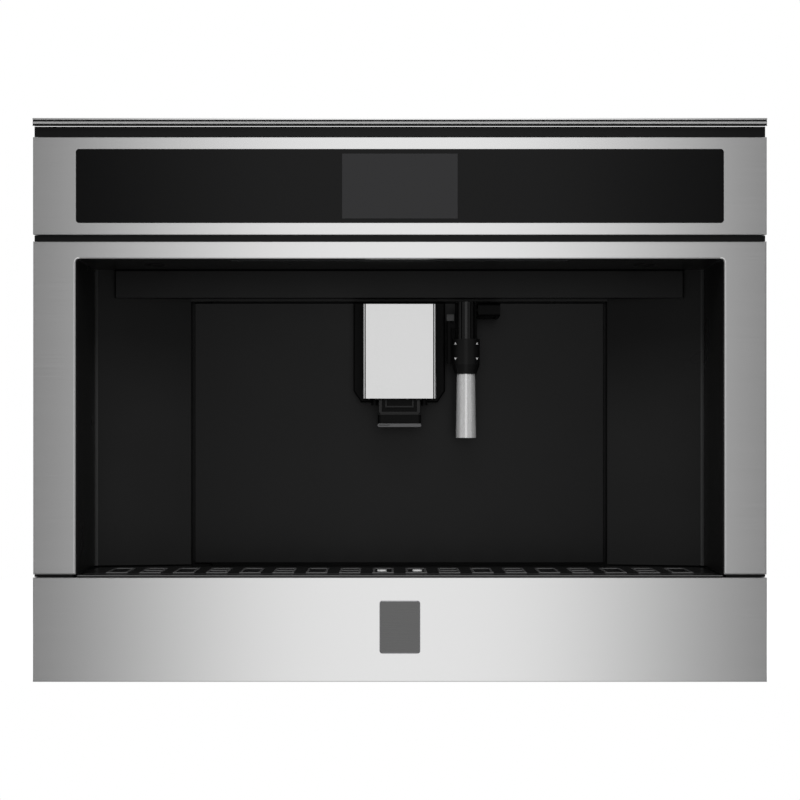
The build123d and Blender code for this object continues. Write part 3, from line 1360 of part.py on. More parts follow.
def lid(x, depth):
    """Flat lid with a hinge barrel along its rear edge."""
    z = (BODY_Z[1] + CLEAR, BODY_Z[1] + CLEAR + LID_T)
    pin_depth = lid_pin_depth(depth)
    plate = block(grown(x, LID_OVERLAP), (depth[0] - LID_OVERLAP, pin_depth), z)
    plate = fillet(upright_edges(plate).group_by(Axis.Y)[0], LID_CORNER_R)
    barrel_x = grown(x, -LID_EAR_INSET)
    notch_x = grown(x, LID_OVERLAP + OVER)
    notch_depth = (depth[1] + OVER, pin_depth + OVER)
    plate -= block((notch_x[0], barrel_x[0]), notch_depth, grown(z, OVER))
    plate -= block((barrel_x[1], notch_x[1]), notch_depth, grown(z, OVER))
    plate += rod_x(barrel_x, pin_depth, lid_axis_z(), LID_BARREL_R)
    return plate - rod_x(grown(barrel_x, OVER), pin_depth, lid_axis_z(), LID_PIN_R + RUN_CLEAR)


def lid_pin_depth(depth):
    return depth[1] + LID_PIN_BACK


def ear_ranges(x):
    """Where the two ears stand, just outside the lid's barrel."""
    low, high = grown(grown(x, -LID_EAR_INSET), CLEAR)
    return ((low - LID_EAR_W, low), (high, high + LID_EAR_W))


def lid_ears(x, depth):
    """Two ears behind an opening that hold the ends of the lid's pin."""
    pin_depth = lid_pin_depth(depth)
    ear_z = (BODY_Z[1] - LID_EAR_H, lid_axis_z() + LID_EAR_MARGIN)
    ear_depth = (depth[1] - HOPPER_WALL, pin_depth + LID_EAR_MARGIN)
    step = block(grown(x, OVER), (0, depth[1] + 2 * OVER), (BODY_Z[1], ear_z[1] + OVER))
    ears = []
    for ear_x in ear_ranges(x):
        ear = block(ear_x, ear_depth, ear_z) - step
        ears.append(ear - rod_x(grown(ear_x, OVER), pin_depth, lid_axis_z(), LID_PIN_R))
    return ears


def lid_pins():
    """Hinge pins of the bean lid and the chute lid."""
    solids = []
    for x, depth in ((HOPPER_X, HOPPER_DEPTH), (CHUTE_X, CHUTE_DEPTH)):
        left, right = ear_ranges(x)
        solids.append(rod_x((left[0], right[1]), lid_pin_depth(depth), lid_axis_z(), LID_PIN_R))
    return Compound(children=solids)


def bean_hopper():
    """Tapered hopper with its lid's ears and the bush of the grind knob."""
    heights = (BODY_Z[1], HOPPER_STRAIGHT_H, HOPPER_H)
    body = funnel(HOPPER_X, HOPPER_DEPTH, *heights, HOPPER_THROAT, HOPPER_WALL)
    for ear in lid_ears(HOPPER_X, HOPPER_DEPTH):
        body += ear
    return body + knob_bush()


def bean_lid():
    return lid(HOPPER_X, HOPPER_DEPTH)


def doser_chute():
    """Slim chute for ground coffee, down to the brewing unit."""
    heights = (BODY_Z[1], CHUTE_STRAIGHT_H, CHUTE_H)
    body = funnel(CHUTE_X, CHUTE_DEPTH, *heights, CHUTE_THROAT, HOPPER_WALL)
    for ear in lid_ears(CHUTE_X, CHUTE_DEPTH):
        body += ear
    return body


def chute_lid():
    return lid(CHUTE_X, CHUTE_DEPTH)


def grinder_centre():
    return sum(HOPPER_X) / 2, sum(HOPPER_DEPTH) / 2


def grinder_top():
    return BODY_Z[1] - HOPPER_H


def placed_on_grinder(shape):
    return standing(*grinder_centre(), shape)


def grinder_housing():
    """Round grinding chamber under the hopper, open above and round the shaft."""
    top = grinder_top()
    low = top - GRINDER_H
    mouth = HOPPER_THROAT / 2 - GRINDER_RIM
    inside = GRINDER_R - GRINDER_WALL
    cup = turned([
        (SHAFT_HOLE_R, low), (GRINDER_R, low), (GRINDER_R, top), (mouth, top),
        (mouth, top - GRINDER_WALL), (inside, top - GRINDER_WALL),
        (inside, low + GRINDER_WALL), (SHAFT_HOLE_R, low + GRINDER_WALL),
    ])
    return placed_on_grinder(cup)


def upper_burr():
    """Fixed ring burr, coned inside."""
    top = grinder_top() - GRINDER_WALL
    low = top - BURR_H
    outer = GRINDER_R - GRINDER_WALL
    return placed_on_grinder(turned([(BURR_R, low), (outer, low), (outer, top), (BURR_R - BURR_TAPER, top)]))


def lower_burr():
    """Driven cone burr with cutting flutes, on its shaft."""
    top = grinder_top() - GRINDER_WALL - BURR_SETBACK
    low = top - BURR_H + BURR_SETBACK
    wide = BURR_R - BURR_GAP
    cone = turned([(0, low), (wide, low), (wide - BURR_TAPER, top), (0, top)])
    length, width = FLUTE_SIZE
    flute = Pos(BURR_R - FLUTE_INSET, 0, (low + top) / 2) * Box(length, width, 2 * BURR_H)
    for i in range(BURR_FLUTES):
        cone -= Rot(0, 0, 360 / BURR_FLUTES * i) * flute
    shaft_low = grinder_top() - GRINDER_H - SHAFT_TAIL
    cone += Pos(0, 0, shaft_low) * Cylinder(SHAFT_R, low - shaft_low + SINK, align=LOW)
    return placed_on_grinder(cone)


def grinder_motor():
    """Motor below the grinding chamber: can, end bell, and a neck with the shaft's socket."""
    top = grinder_top() - GRINDER_H
    low = top - MOTOR_H
    bell_r, bell_h = MOTOR_BELL
    neck_r, neck_h = MOTOR_NECK
    socket = SHAFT_R + RUN_CLEAR
    shoulder = top - neck_h
    can = turned([
        (0, low), (bell_r, low), (bell_r, low + bell_h), (MOTOR_R - MOTOR_EDGE, low + bell_h),
        (MOTOR_R, low + bell_h + MOTOR_EDGE), (MOTOR_R, shoulder - MOTOR_EDGE),
        (MOTOR_R - MOTOR_EDGE, shoulder), (neck_r, shoulder), (neck_r, top),
        (socket, top), (socket, top - SHAFT_SOCKET), (0, top - SHAFT_SOCKET),
    ])
    return placed_on_grinder(can)


def grind_knob():
    """Grind setting knob with grip flutes and a pointer rib."""
    top = BODY_Z[1] + KNOB_PROUD
    low = top - KNOB_H
    body = Pos(0, 0, low) * Cylinder(KNOB_R, KNOB_H, align=LOW)
    body = chamfer(body.edges().group_by(Axis.Z)[-1], KNOB_EDGE)
    flute = Pos(KNOB_R + KNOB_FLUTE_OUT, 0, low) * Cylinder(KNOB_FLUTE_R, 3 * KNOB_H)
    for i in range(KNOB_FLUTES):
        body -= Rot(0, 0, 360 / KNOB_FLUTES * i) * flute
    body += Pos(0, -KNOB_R / 2, top) * Box(*KNOB_POINTER, align=LOW)
    body += Pos(0, 0, low - KNOB_SHAFT_L) * Cylinder(KNOB_SHAFT_R, KNOB_SHAFT_L + SINK, align=LOW)
    return standing(KNOB_X, KNOB_DEPTH, body)


def knob_bush():
    """Bush that guides the knob's shaft, on an arm from the hopper's side."""
    z = (BODY_Z[1] - BUSH_DROP[0], BODY_Z[1] - BUSH_DROP[1])
    bush = post(KNOB_X, KNOB_DEPTH, z, KNOB_SHAFT_R + BUSH_WALL)
    arm = block((HOPPER_X[1] - HOPPER_WALL / 2, KNOB_X), around(KNOB_DEPTH, BUSH_ARM_W), z)
    return bush + arm - post(KNOB_X, KNOB_DEPTH, grown(z, OVER), KNOB_SHAFT_R + RUN_CLEAR)


# ---- Brewing unit, grounds and water ----
def brew_z():
    low = BODY_Z[0] + SHEET + BREW_BASE_GAP
    return (low, low + BREW_H)


def brew_unit():
    """Removable infuser: two cheeks, a base, a guide spindle and the brew cylinder."""
    low, high = brew_z()
    front, back = BREW_DEPTH
    slope_depth, slope_z = BREW_SLOPE
    profile = [
        (front, low), (back, low), (back, high), (front + slope_depth, high), (front, high - slope_z),
    ]
    cheek = side_prism(profile, (BREW_X[0], BREW_X[0] + BREW_PLATE_T))
    other = Pos(BREW_X[1] - BREW_X[0] - BREW_PLATE_T, 0, 0) * cheek
    base = block(BREW_X, BREW_DEPTH, (low, low + BREW_PLATE_T))
    spindle_z = (low + BREW_PLATE_T - SINK, high - SPINDLE_TOP)
    spindle = post(sum(BREW_X) / 2, back - SPINDLE_INSET, spindle_z, SPINDLE_R)
    bridge_l, bridge_h = BRIDGE_SIZE
    bridge = block(grown(BREW_X, -SINK), (back - bridge_l, back), (high - bridge_h, high))
    return cheek + other + base + brew_cylinder() + spindle + bridge + brew_piston()


def brew_cylinder():
    """Open brewing cup on a cross bar between the cheeks."""
    low = brew_z()[0] + BREW_CYL_LIFT
    x = sum(BREW_X) / 2
    depth = BREW_DEPTH[0] + BREW_AXIS
    bar = block(grown(BREW_X, -SINK), around(depth, CARRIAGE_T), (low, low + CARRIAGE_T))
    cup = bar + post(x, depth, (low, low + BREW_CYL_H), BREW_CYL_R)
    return cup - post(x, depth, (low + BREW_CYL_FLOOR, low + BREW_CYL_H + OVER), PISTON_R + CLEAR)


def brew_piston():
    """Upper piston with its seal groove, hung from the bridge above the brew cylinder."""
    low = brew_z()[0] + BREW_CYL_LIFT + BREW_CYL_H - PISTON_ENTRY
    high = brew_z()[1]
    groove_low, groove_high, shoulder = (low + step for step in PISTON_RING)
    groove = PISTON_R - PISTON_GROOVE
    neck_r, neck_rise = PISTON_NECK
    body = turned([
        (0, low), (PISTON_R, low), (PISTON_R, groove_low), (groove, groove_low), (groove, groove_high),
        (PISTON_R, groove_high), (PISTON_R, shoulder), (neck_r, low + neck_rise), (neck_r, high), (0, high),
    ])
    x = sum(BREW_X) / 2
    depth = BREW_DEPTH[0] + BREW_AXIS
    width, height, inset = HANGER_SIZE
    hanger = block(around(x, width), (depth, BREW_DEPTH[1] - inset), (high - height, high))
    return standing(x, depth, body) + hanger


def brew_motor():
    """Gear motor beside the brewing unit that turns its spindle."""
    low = brew_z()[0]
    width, length, height = GEARBOX_SIZE
    x = (BREW_X[1] + CLEAR, BREW_X[1] + CLEAR + width)
    depth = (BREW_DEPTH[1] - length, BREW_DEPTH[1])
    gearbox = rounded_box(x, depth, (low, low + height), GEARBOX_R)
    motor_z = (low + height - SINK, low + height + BREW_MOTOR_L)
    return gearbox + post(sum(x) / 2, sum(depth) / 2, motor_z, BREW_MOTOR_R)


def grounds_z():
    low = BODY_Z[0] + SHEET + BREW_BASE_GAP
    return (low, low + GROUNDS_H)


def grounds_container():
    """Open box for the used grounds, tapering down, with a front pull lip."""
    low, high = grounds_z()

    def form(wall, bottom, top):
        x = grown(GROUNDS_X, -wall)
        depth = grown(GROUNDS_DEPTH, -wall)
        return tapered(x, depth, grown(x, -GROUNDS_TAPER), grown(depth, -GROUNDS_TAPER), (bottom, top))

    box = form(0, low, high) - form(GROUNDS_WALL, low + GROUNDS_WALL, high)
    width, reach, height = GROUNDS_LIP
    lip_depth = (GROUNDS_DEPTH[0] - reach, GROUNDS_DEPTH[0] + GROUNDS_WALL)
    return box + block(around(sum(GROUNDS_X) / 2, width), lip_depth, (high - height, high))


def tank_x():
    low = -BODY_HALF + SHEET + TANK_SIDE_GAP
    return (low, low + TANK_W)


def tank_depth():
    high = DEPTH - TANK_REAR_GAP
    return (high - TANK_L, high)


def tank_z():
    high = BODY_Z[1] - TANK_TOP_DROP
    return (high - TANK_H, high)


def tank_form(inset, z):
    """Rounded box round the tank's axis, drawn in by an inset."""
    radius = max(TANK_R - inset, OVER)
    return rounded_box(grown(tank_x(), -inset), grown(tank_depth(), -inset), z, radius)


def water_tank():
    """Clear open-topped tank with rounded corners and a valve stub underneath."""
    low, high = tank_z()
    shell = tank_form(0, (low, high)) - tank_form(TANK_WALL, (low + TANK_WALL, high + OVER))
    x = sum(tank_x()) / 2
    depth = sum(tank_depth()) / 2
    stub = post(x, depth, (low - TANK_OUTLET_L, low + SINK), TANK_OUTLET_R)
    bore_z = (low - TANK_OUTLET_L - OVER, low + TANK_WALL + OVER)
    return shell + stub - post(x, depth, bore_z, TANK_OUTLET_BORE_R)


def tank_lid():
    """Lid of the tank, with a skirt that centres it."""
    high = tank_z()[1]
    skirt_h, skirt_t = TANK_SKIRT
    outer = TANK_WALL + CLEAR
    plate = tank_form(TANK_LID_INSET, (high, high + TANK_LID_T))
    skirt = tank_form(outer, (high - skirt_h, high + SINK))
    return plate + skirt - tank_form(outer + skirt_t, (high - skirt_h - OVER, high))


def tank_seat():
    """Stand under the tank with the socket for its valve stub."""
    top = tank_z()[0] - SEAT_CLEAR
    x = grown(tank_x(), -SEAT_INSET)
    depth = grown(tank_depth(), -SEAT_INSET)
    body = block(x, depth, (top - TANK_SEAT_H, top))
    socket = TANK_OUTLET_R + SLIDE_CLEAR
    body -= post(sum(x) / 2, sum(depth) / 2, (top - SEAT_SOCKET, top + OVER), socket)
    leg_z = (BODY_Z[0] + SHEET, top - TANK_SEAT_H + SINK)
    for leg_depth in ((depth[0], depth[0] + SEAT_LEG_T), (depth[1] - SEAT_LEG_T, depth[1])):
        body += block(x, leg_depth, leg_z)
    return body


def boiler(x, radius, height):
    """Upright boiler: flanged drum with a domed top, a pipe stub and three legs."""
    low = BODY_Z[0] + SHEET + BOILER_BASE_GAP
    top = low + height
    waist = low + BOILER_WAIST * height
    foot_edge, dome_edge = BOILER_EDGE
    flange = radius + BOILER_FLANGE
    drum = turned([
        (0, low), (radius - foot_edge, low), (radius, low + foot_edge), (radius, waist),
        (flange, waist), (flange, waist + BOILER_FLANGE_T), (radius, waist + BOILER_FLANGE_T),
        (radius, top - dome_edge), (radius - dome_edge, top), (0, top),
    ])
    stub_r, stub_l = BOILER_STUB
    drum += Pos(0, 0, top - SINK) * Cylinder(stub_r, stub_l + SINK, align=LOW)
    leg_l = BOILER_BASE_GAP + foot_edge + OVER
    leg = Pos(radius - foot_edge, 0, low - BOILER_BASE_GAP) * Cylinder(BOILER_LEG_R, leg_l, align=LOW)
    for angle in BOILER_LEG_ANGLES:
        drum += Rot(0, 0, angle) * leg
    return standing(x, BOILER_DEPTH, drum)


def boilers():
    """Coffee boiler and the taller, slimmer steam boiler beside it."""
    coffee = boiler(BOILER_X, BOILER_R, BOILER_H)
    steam = boiler(STEAM_BOILER_X, STEAM_BOILER_R, STEAM_BOILER_H)
    return Compound(children=[coffee, steam])


def pump_axis_z():
    return BODY_Z[0] + SHEET + PUMP_BASE_GAP + PUMP_R


def water_pump():
    """Vibration pump on two feet: coil body with inlet and outlet stubs."""
    z = pump_axis_z()
    x = around(PUMP_X, PUMP_L)
    body = rod_x(x, PUMP_DEPTH, z, PUMP_R - PUMP_NECK)
    coil = around(PUMP_X, PUMP_L * PUMP_COIL)
    body += block(coil, around(PUMP_DEPTH, 2 * PUMP_R), around(z, 2 * PUMP_R))
    foot_w, foot_l = PUMP_FOOT
    for foot_x in around(PUMP_X, 2 * PUMP_L * PUMP_FOOT_AT):
        foot_z = (BODY_Z[0] + SHEET, z)
        body += block(around(foot_x, foot_w), around(PUMP_DEPTH, foot_l), foot_z)
    stub_r, stub_l = PUMP_STUB
    return body + rod_x(grown(x, stub_l), PUMP_DEPTH, z, stub_r)


def hose(points, radii):
    """Hose along straight runs joined by tangent arcs."""
    path = FilletPolyline(*[(x, FRONT_Y + depth, z) for x, depth, z in points], radius=radii)
    ring = Plane(origin=path @ 0, z_dir=path % 0) * Circle(HOSE_R)
    return sweep(ring, path=path)


def water_hoses():
    """Hose from the tank's seat to the pump, and from the pump to the coffee boiler."""
    tank_middle = (sum(tank_x()) / 2, sum(tank_depth()) / 2)
    z = pump_axis_z()
    inlet, outlet = grown(around(PUMP_X, PUMP_L), PUMP_STUB[1])
    seat_low = tank_z()[0] - SEAT_CLEAR - TANK_SEAT_H
    run, rise = HOSE_SETBACK
    suction = hose([
        (*tank_middle, seat_low), (*tank_middle, z + rise),
        (tank_middle[0] + run, PUMP_DEPTH, z), (inlet, PUMP_DEPTH, z),
    ], SUCTION_BEND_R)
    boiler_top = BODY_Z[0] + SHEET + BOILER_BASE_GAP + BOILER_H + BOILER_STUB[1]
    over = boiler_top + HOSE_OVER
    pressure = hose([
        (outlet, PUMP_DEPTH, z), (HOSE_RISE_X, PUMP_DEPTH, z), (HOSE_RISE_X, PUMP_DEPTH, over),
        (BOILER_X, BOILER_DEPTH, over), (BOILER_X, BOILER_DEPTH, boiler_top),
    ], PRESSURE_BEND_R)
    return Compound(children=[suction, pressure])


def power_board():
    """Mains board upright beside the right-hand panel, with transformer and relays."""
    side = BODY_HALF - SHEET
    x = (side - POWER_BOARD_GAP - BOARD_T, side - POWER_BOARD_GAP)
    depth = (POWER_BOARD_DEPTH, POWER_BOARD_DEPTH + POWER_BOARD_L)
    low = BODY_Z[0] + POWER_BOARD_LIFT
    z = (low, low + POWER_BOARD_H)
    board = block(x, depth, z)
    thick, length, height = TRANSFORMER
    start = depth[0] + BOARD_PARTS_INSET
    base = low + BOARD_PARTS_INSET
    board += block((x[0] - thick, x[0]), (start, start + length), (base, base + height))
    thick, length, height = RELAY
    for i in range(RELAY_COUNT):
        start = depth[0] + RELAY_PLACE[0] + i * RELAY_PITCH
        base = low + RELAY_PLACE[1]
        board += block((x[0] - thick, x[0]), (start, start + length), (base, base + height))
    for post_z in grown(z, -BOARD_POST_INSET):
        for post_depth in grown(depth, -BOARD_POST_INSET):
            board += rod_x((x[1], side), post_depth, post_z, BOARD_POST_R)
    return board


# ---- Rear connections ----
def rocker_axis_depth():
    return DEPTH - ROCKER_PIVOT_DROP


def switch_well_width():
    return SWITCH_SIZE[0] - 2 * CLEAR - 2 * SWITCH_WALL


def mains_switch():
    """Rocker with a face tilted about its pivot, and a trunnion at each end."""
    half = SWITCH_SIZE[1] / 2 - CLEAR - SWITCH_WALL - ROCKER_ROOM
    z = around(SWITCH_Z, 2 * half)
    x = around(SWITCH_X, switch_well_width() - 2 * SLIDE_CLEAR)
    back = rocker_axis_depth() - ROCKER_BACK
    bottom, middle, top = (DEPTH - drop for drop in ROCKER_FACE)
    profile = [
        (back, z[0] + ROCKER_SLOPE), (bottom, z[0]), (middle, SWITCH_Z),
        (top, z[1] - ROCKER_FACE[2]), (back, z[1] - ROCKER_SLOPE),
    ]
    trunnion_x = grown(around(SWITCH_X, switch_well_width()), TRUNNION_L)
    return side_prism(profile, x) + rod_x(trunnion_x, rocker_axis_depth(), SWITCH_Z, TRUNNION_R)


def power_inlet():
    """Inlet module: a socket with three flat pins beside the frame of the mains switch."""
    depth = (DEPTH - SWITCH_BODY_L, DEPTH)
    frame_x = grown(around(SWITCH_X, SWITCH_SIZE[0]), -CLEAR)
    frame_z = grown(around(SWITCH_Z, SWITCH_SIZE[1]), -CLEAR)
    socket_x = grown(around(INLET_X, INLET_SIZE[0]), -CLEAR)
    socket_z = grown(around(SWITCH_Z, INLET_SIZE[1]), -CLEAR)
    body = block(frame_x, depth, frame_z) + block(socket_x, depth, socket_z)
    bridge_z = grown(socket_z, -INLET_BRIDGE_INSET)
    body += block((SWITCH_X, INLET_X), (depth[0], DEPTH - SHEET - CLEAR), bridge_z)
    well_x = around(SWITCH_X, switch_well_width())
    body -= block(well_x, (DEPTH - SWITCH_WELL, DEPTH + OVER), grown(frame_z, -SWITCH_WALL))
    pivot_x = grown(well_x, TRUNNION_L + TRUNNION_END_GAP)
    body -= rod_x(pivot_x, rocker_axis_depth(), SWITCH_Z, TRUNNION_R + RUN_CLEAR)
    return body - inlet_cavity() + inlet_pins()


def inlet_cavity():
    """Socket cavity with two cut corners."""
    width, height, length = INLET_CAVITY
    depth = (DEPTH - length, DEPTH + OVER)
    cavity = block(around(INLET_X, width), depth, around(SWITCH_Z, height))
    return chamfer(cavity.edges().filter_by(Axis.Y).group_by(Axis.Z)[-1], INLET_CORNER)


def inlet_pins():
    """Three flat pins, the middle one higher."""
    height, width, length = INLET_PIN
    base = DEPTH - INLET_CAVITY[2] - SINK
    pins = []
    for side in (-1, 0, 1):
        z = around(SWITCH_Z + (-INLET_PIN_LIFT if side else INLET_PIN_LIFT), height)
        x = around(INLET_X + side * INLET_PIN_SPACING, width)
        pins.append(block(x, (base, base + length), z))
    return pins


PARTS = {
    "rail_outers": rail_outers,
    "rail_middles": rail_middles,
    "rail_inners": rail_inners,
    "fixing_screws": fixing_screws,
    "chassis_base": chassis_base,
    "side_panel_left": side_panel_left,
    "side_panel_right": side_panel,
    "rear_panel": rear_panel,
    "top_cover": top_cover,
    "bulkhead": bulkhead,
    "feet": feet,
    "front_carrier": front_carrier,
    "top_trim": top_trim,
    "control_fascia": control_fascia,
    "control_glass": control_glass,
    "display_module": display_module,
    "niche_frame": niche_frame,
    "niche_liner": niche_liner,
    "header_panel": header_panel,
    "cup_light_lens": cup_light_lens,
    "door_hinge_brackets": door_hinge_brackets,
    "door_panel": door_panel,
    "door_hinge_pins": door_hinge_pins,
    "spout_guide": spout_guide,
    "spout_plate": spout_plate,
    "spout_shell": spout_shell,
    "spout_nozzles": spout_nozzles,
    "spout_grip": spout_grip,
    "wand_bracket": wand_bracket,
    "wand_arm": wand_arm,
    "steam_tube": steam_tube,
    "wand_tab": wand_tab,
    "selector_ring": selector_ring,
    "frother_sleeve": frother_sleeve,
    "lower_panel": lower_panel,
    "drip_tray": drip_tray,
    "cup_grate": cup_grate,
    "cup_marks": cup_marks,
    "bean_hopper": bean_hopper,
    "bean_lid": bean_lid,
    "doser_chute": doser_chute,
    "chute_lid": chute_lid,
    "lid_pins": lid_pins,
    "grinder_housing": grinder_housing,
    "upper_burr": upper_burr,
    "lower_burr": lower_burr,
    "grinder_motor": grinder_motor,
    "grind_knob": grind_knob,
    "brew_unit": brew_unit,
    "brew_motor": brew_motor,
    "grounds_container": grounds_container,
    "water_tank": water_tank,
    "tank_lid": tank_lid,
    "tank_seat": tank_seat,
    "boilers": boilers,
    "water_pump": water_pump,
    "water_hoses": water_hoses,
    "power_board": power_board,
    "mains_switch": mains_switch,
    "power_inlet": power_inlet,
}

os.makedirs("parts", exist_ok=True)
for node, make in PARTS.items():
    export_step(make(), f"parts/{node}.step")
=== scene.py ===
from math import cos, pi, radians, sin

import bmesh
import bpy
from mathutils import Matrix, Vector


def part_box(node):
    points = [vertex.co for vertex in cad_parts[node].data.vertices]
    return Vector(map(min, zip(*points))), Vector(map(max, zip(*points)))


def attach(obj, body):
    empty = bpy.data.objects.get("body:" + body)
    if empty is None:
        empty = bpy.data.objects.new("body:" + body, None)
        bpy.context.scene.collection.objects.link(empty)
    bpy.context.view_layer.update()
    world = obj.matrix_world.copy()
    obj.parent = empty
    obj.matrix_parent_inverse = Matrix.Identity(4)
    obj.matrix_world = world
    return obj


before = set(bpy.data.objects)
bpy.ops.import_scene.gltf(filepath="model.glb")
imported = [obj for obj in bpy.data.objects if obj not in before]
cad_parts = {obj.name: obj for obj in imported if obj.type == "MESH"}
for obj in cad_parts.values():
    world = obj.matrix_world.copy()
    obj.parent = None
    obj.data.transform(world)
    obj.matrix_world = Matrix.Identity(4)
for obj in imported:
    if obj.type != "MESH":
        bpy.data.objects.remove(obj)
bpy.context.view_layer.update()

# ---- Telescopic rails ----
# Two sets of three roll-formed steel sections, left and right, that carry the machine out of its
# niche. The outer ones are screwed to the cabinet, the inner ones to the machine's sides. They are
# bright zinc plated.
MM = 0.001
GRAIN_SPAN = (0.3, 0.7)
GRAIN_ROUGHNESS = 0.6


def node_adder(tree):
    """A function that adds a node with its settings to a node tree."""

    def add(kind, **settings):
        node = tree.nodes.new(kind)
        for key, value in settings.items():
            setattr(node, key, value)
        return node

    return add


def new_material(name):
    """An empty node material: its shader, and a function that adds a node to it."""
    material = bpy.data.materials.new(name)
    material.use_nodes = True
    tree = material.node_tree
    return material, tree.nodes["Principled BSDF"], node_adder(tree), tree.links.new


def object_grain(add, link, stretch, scale, detail=3.0):
    """Noise in the object's own space, stretched along its axes, in cycles a metre."""
    place = add("ShaderNodeTexCoord")
    mapping = add("ShaderNodeMapping")
    mapping.inputs["Scale"].default_value = stretch
    noise = add("ShaderNodeTexNoise")
    noise.inputs["Scale"].default_value = scale
    noise.inputs["Detail"].default_value = detail
    noise.inputs["Roughness"].default_value = GRAIN_ROUGHNESS
    link(place.outputs["Object"], mapping.inputs["Vector"])
    link(mapping.outputs["Vector"], noise.inputs["Vector"])
    return noise.outputs["Fac"]


def spread(add, link, source, low, high):
    """The noise's middle part, spread between two values."""
    ramp = add("ShaderNodeMapRange")
    ramp.inputs["From Min"].default_value, ramp.inputs["From Max"].default_value = GRAIN_SPAN
    ramp.inputs["To Min"].default_value = low
    ramp.inputs["To Max"].default_value = high
    link(source, ramp.inputs["Value"])
    return ramp.outputs["Result"]


def tinted(add, link, source, dark, light):
    """A colour between two, by the noise."""
    ramp = add("ShaderNodeValToRGB")
    for element, position, color in zip(ramp.color_ramp.elements, GRAIN_SPAN, (dark, light)):
        element.position = position
        element.color = (*color, 1)
    link(source, ramp.inputs["Fac"])
    return ramp.outputs["Color"]


def bumped(add, link, source, shader, depth):
    bump = add("ShaderNodeBump")
    bump.inputs["Strength"].default_value = 1.0
    bump.inputs["Distance"].default_value = depth
    link(source, bump.inputs["Height"])
    link(bump.outputs["Normal"], shader.inputs["Normal"])


def object_part(add, link, axis):
    """One coordinate of the object's own space, in metres."""
    place = add("ShaderNodeTexCoord")
    parts = add("ShaderNodeSeparateXYZ")
    link(place.outputs["Object"], parts.inputs[0])
    return parts.outputs[axis]


def within(add, link, axis, low, high):
    """1 between two heights, depths or widths of the object, and 0 elsewhere."""
    inside = add("ShaderNodeMath", operation="COMPARE")
    inside.inputs[1].default_value = (low + high) / 2
    inside.inputs[2].default_value = (high - low) / 2
    link(object_part(add, link, axis), inside.inputs[0])
    return inside.outputs[0]


def combined(add, link, first, second, operation="MULTIPLY"):
    both = add("ShaderNodeMath", operation=operation)
    link(first, both.inputs[0])
    link(second, both.inputs[1])
    return both.outputs[0]


def recoloured(material, mask, color, roughness=None, gloss=None):
    """Another colour, roughness or gloss where the mask is 1. The mask is a function of add and link."""
    tree = material.node_tree
    shader = tree.nodes["Principled BSDF"]
    add, link = node_adder(tree), tree.links.new
    share = mask(add, link)
    changes = {"Base Color": (*color, 1), "Roughness": roughness, "Specular IOR Level": gloss}
    for name, value in changes.items():
        if value is None:
            continue
        # A Mix node has sockets of its own for colours and for numbers.
        kind, first, second, result = ("RGBA", 6, 7, 2) if name == "Base Color" else ("FLOAT", 2, 3, 0)
        mixed = add("ShaderNodeMix", data_type=kind)
        socket = shader.inputs[name]
        mixed.inputs[first].default_value = socket.default_value
        if socket.links:
            link(socket.links[0].from_socket, mixed.inputs[first])
        mixed.inputs[second].default_value = value
        link(share, mixed.inputs[0])
        link(mixed.outputs[result], socket)
    return material


def metal(name, dark, light, roughness, stretch, scale, depth):
    """Metal with fine lines or grain: the grain shades its colour, its gloss and its surface."""
    material, shader, add, link = new_material(name)
    grain = object_grain(add, link, stretch, scale)
    link(tinted(add, link, grain, dark, light), shader.inputs["Base Color"])
    link(spread(add, link, grain, roughness[0], roughness[1]), shader.inputs["Roughness"])
    bumped(add, link, grain, shader, depth)
    shader.inputs["Metallic"].default_value = 1.0
    return material


def dress(material, *nodes):
    """Gives CAD nodes their finish."""
    for node in nodes:
        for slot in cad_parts[node].material_slots:
            slot.material = material


rail_zinc = metal(
    "rail_zinc", (0.52, 0.53, 0.55), (0.66, 0.67, 0.69), (0.28, 0.4), (1, 0.03, 1), 900, 0.01 * MM
)
dress(rail_zinc, "rail_outers", "rail_middles", "rail_inners")

# ---- Chassis ----
# Floor pan, two side sheets, rear sheet and top cover of folded galvanised steel, which show the
# zinc's soft spangle. The cover and the rails are held by machine screws.
galvanised = metal(
    "galvanised_sheet", (0.5, 0.51, 0.53), (0.64, 0.65, 0.67), (0.36, 0.5), (1, 1, 1), 70, 0.01 * MM
)
dress(galvanised, "chassis_base", "side_panel_left", "side_panel_right", "rear_panel", "top_cover")
bright_steel = metal(
    "bright_steel", (0.42, 0.42, 0.44), (0.6, 0.6, 0.62), (0.2, 0.34), (1, 1, 1), 1500, 0.01 * MM
)
dress(bright_steel, "fixing_screws", "lid_pins", "steam_tube")

# ---- Feet ----
# Four tapered feet of black rubber, stuck under the floor pan. They are moulded, with a matt and
# slightly dusty skin.
PATCH_SCALE = 9


def moulded(name, dark, light, roughness, grain_scale, depth, gloss=0.5):
    """Moulded plastic or rubber: a fine even grain, and slow patches of slightly other gloss."""
    material, shader, add, link = new_material(name)
    patches = object_grain(add, link, (1, 1, 1), PATCH_SCALE, 2.0)
    link(tinted(add, link, patches, dark, light), shader.inputs["Base Color"])
    link(spread(add, link, patches, roughness[0], roughness[1]), shader.inputs["Roughness"])
    grain = object_grain(add, link, (1, 1, 1), grain_scale, 2.0)
    bumped(add, link, grain, shader, depth)
    shader.inputs["Specular IOR Level"].default_value = gloss
    return material


foot_rubber = moulded("foot_rubber", (0.02, 0.02, 0.02), (0.035, 0.035, 0.035), (0.7, 0.85), 1800, 0.03 * MM)
dress(foot_rubber, "feet")

# ---- Mains inlet and switch ----
# A socket for the mains lead with a rocker switch beside it, in the rear sheet. Both are moulded
# from glossy black nylon.
nylon = moulded("black_nylon", (0.018, 0.018, 0.018), (0.026, 0.026, 0.026), (0.26, 0.36), 2600, 0.01 * MM)
dress(nylon, "power_inlet", "mains_switch")

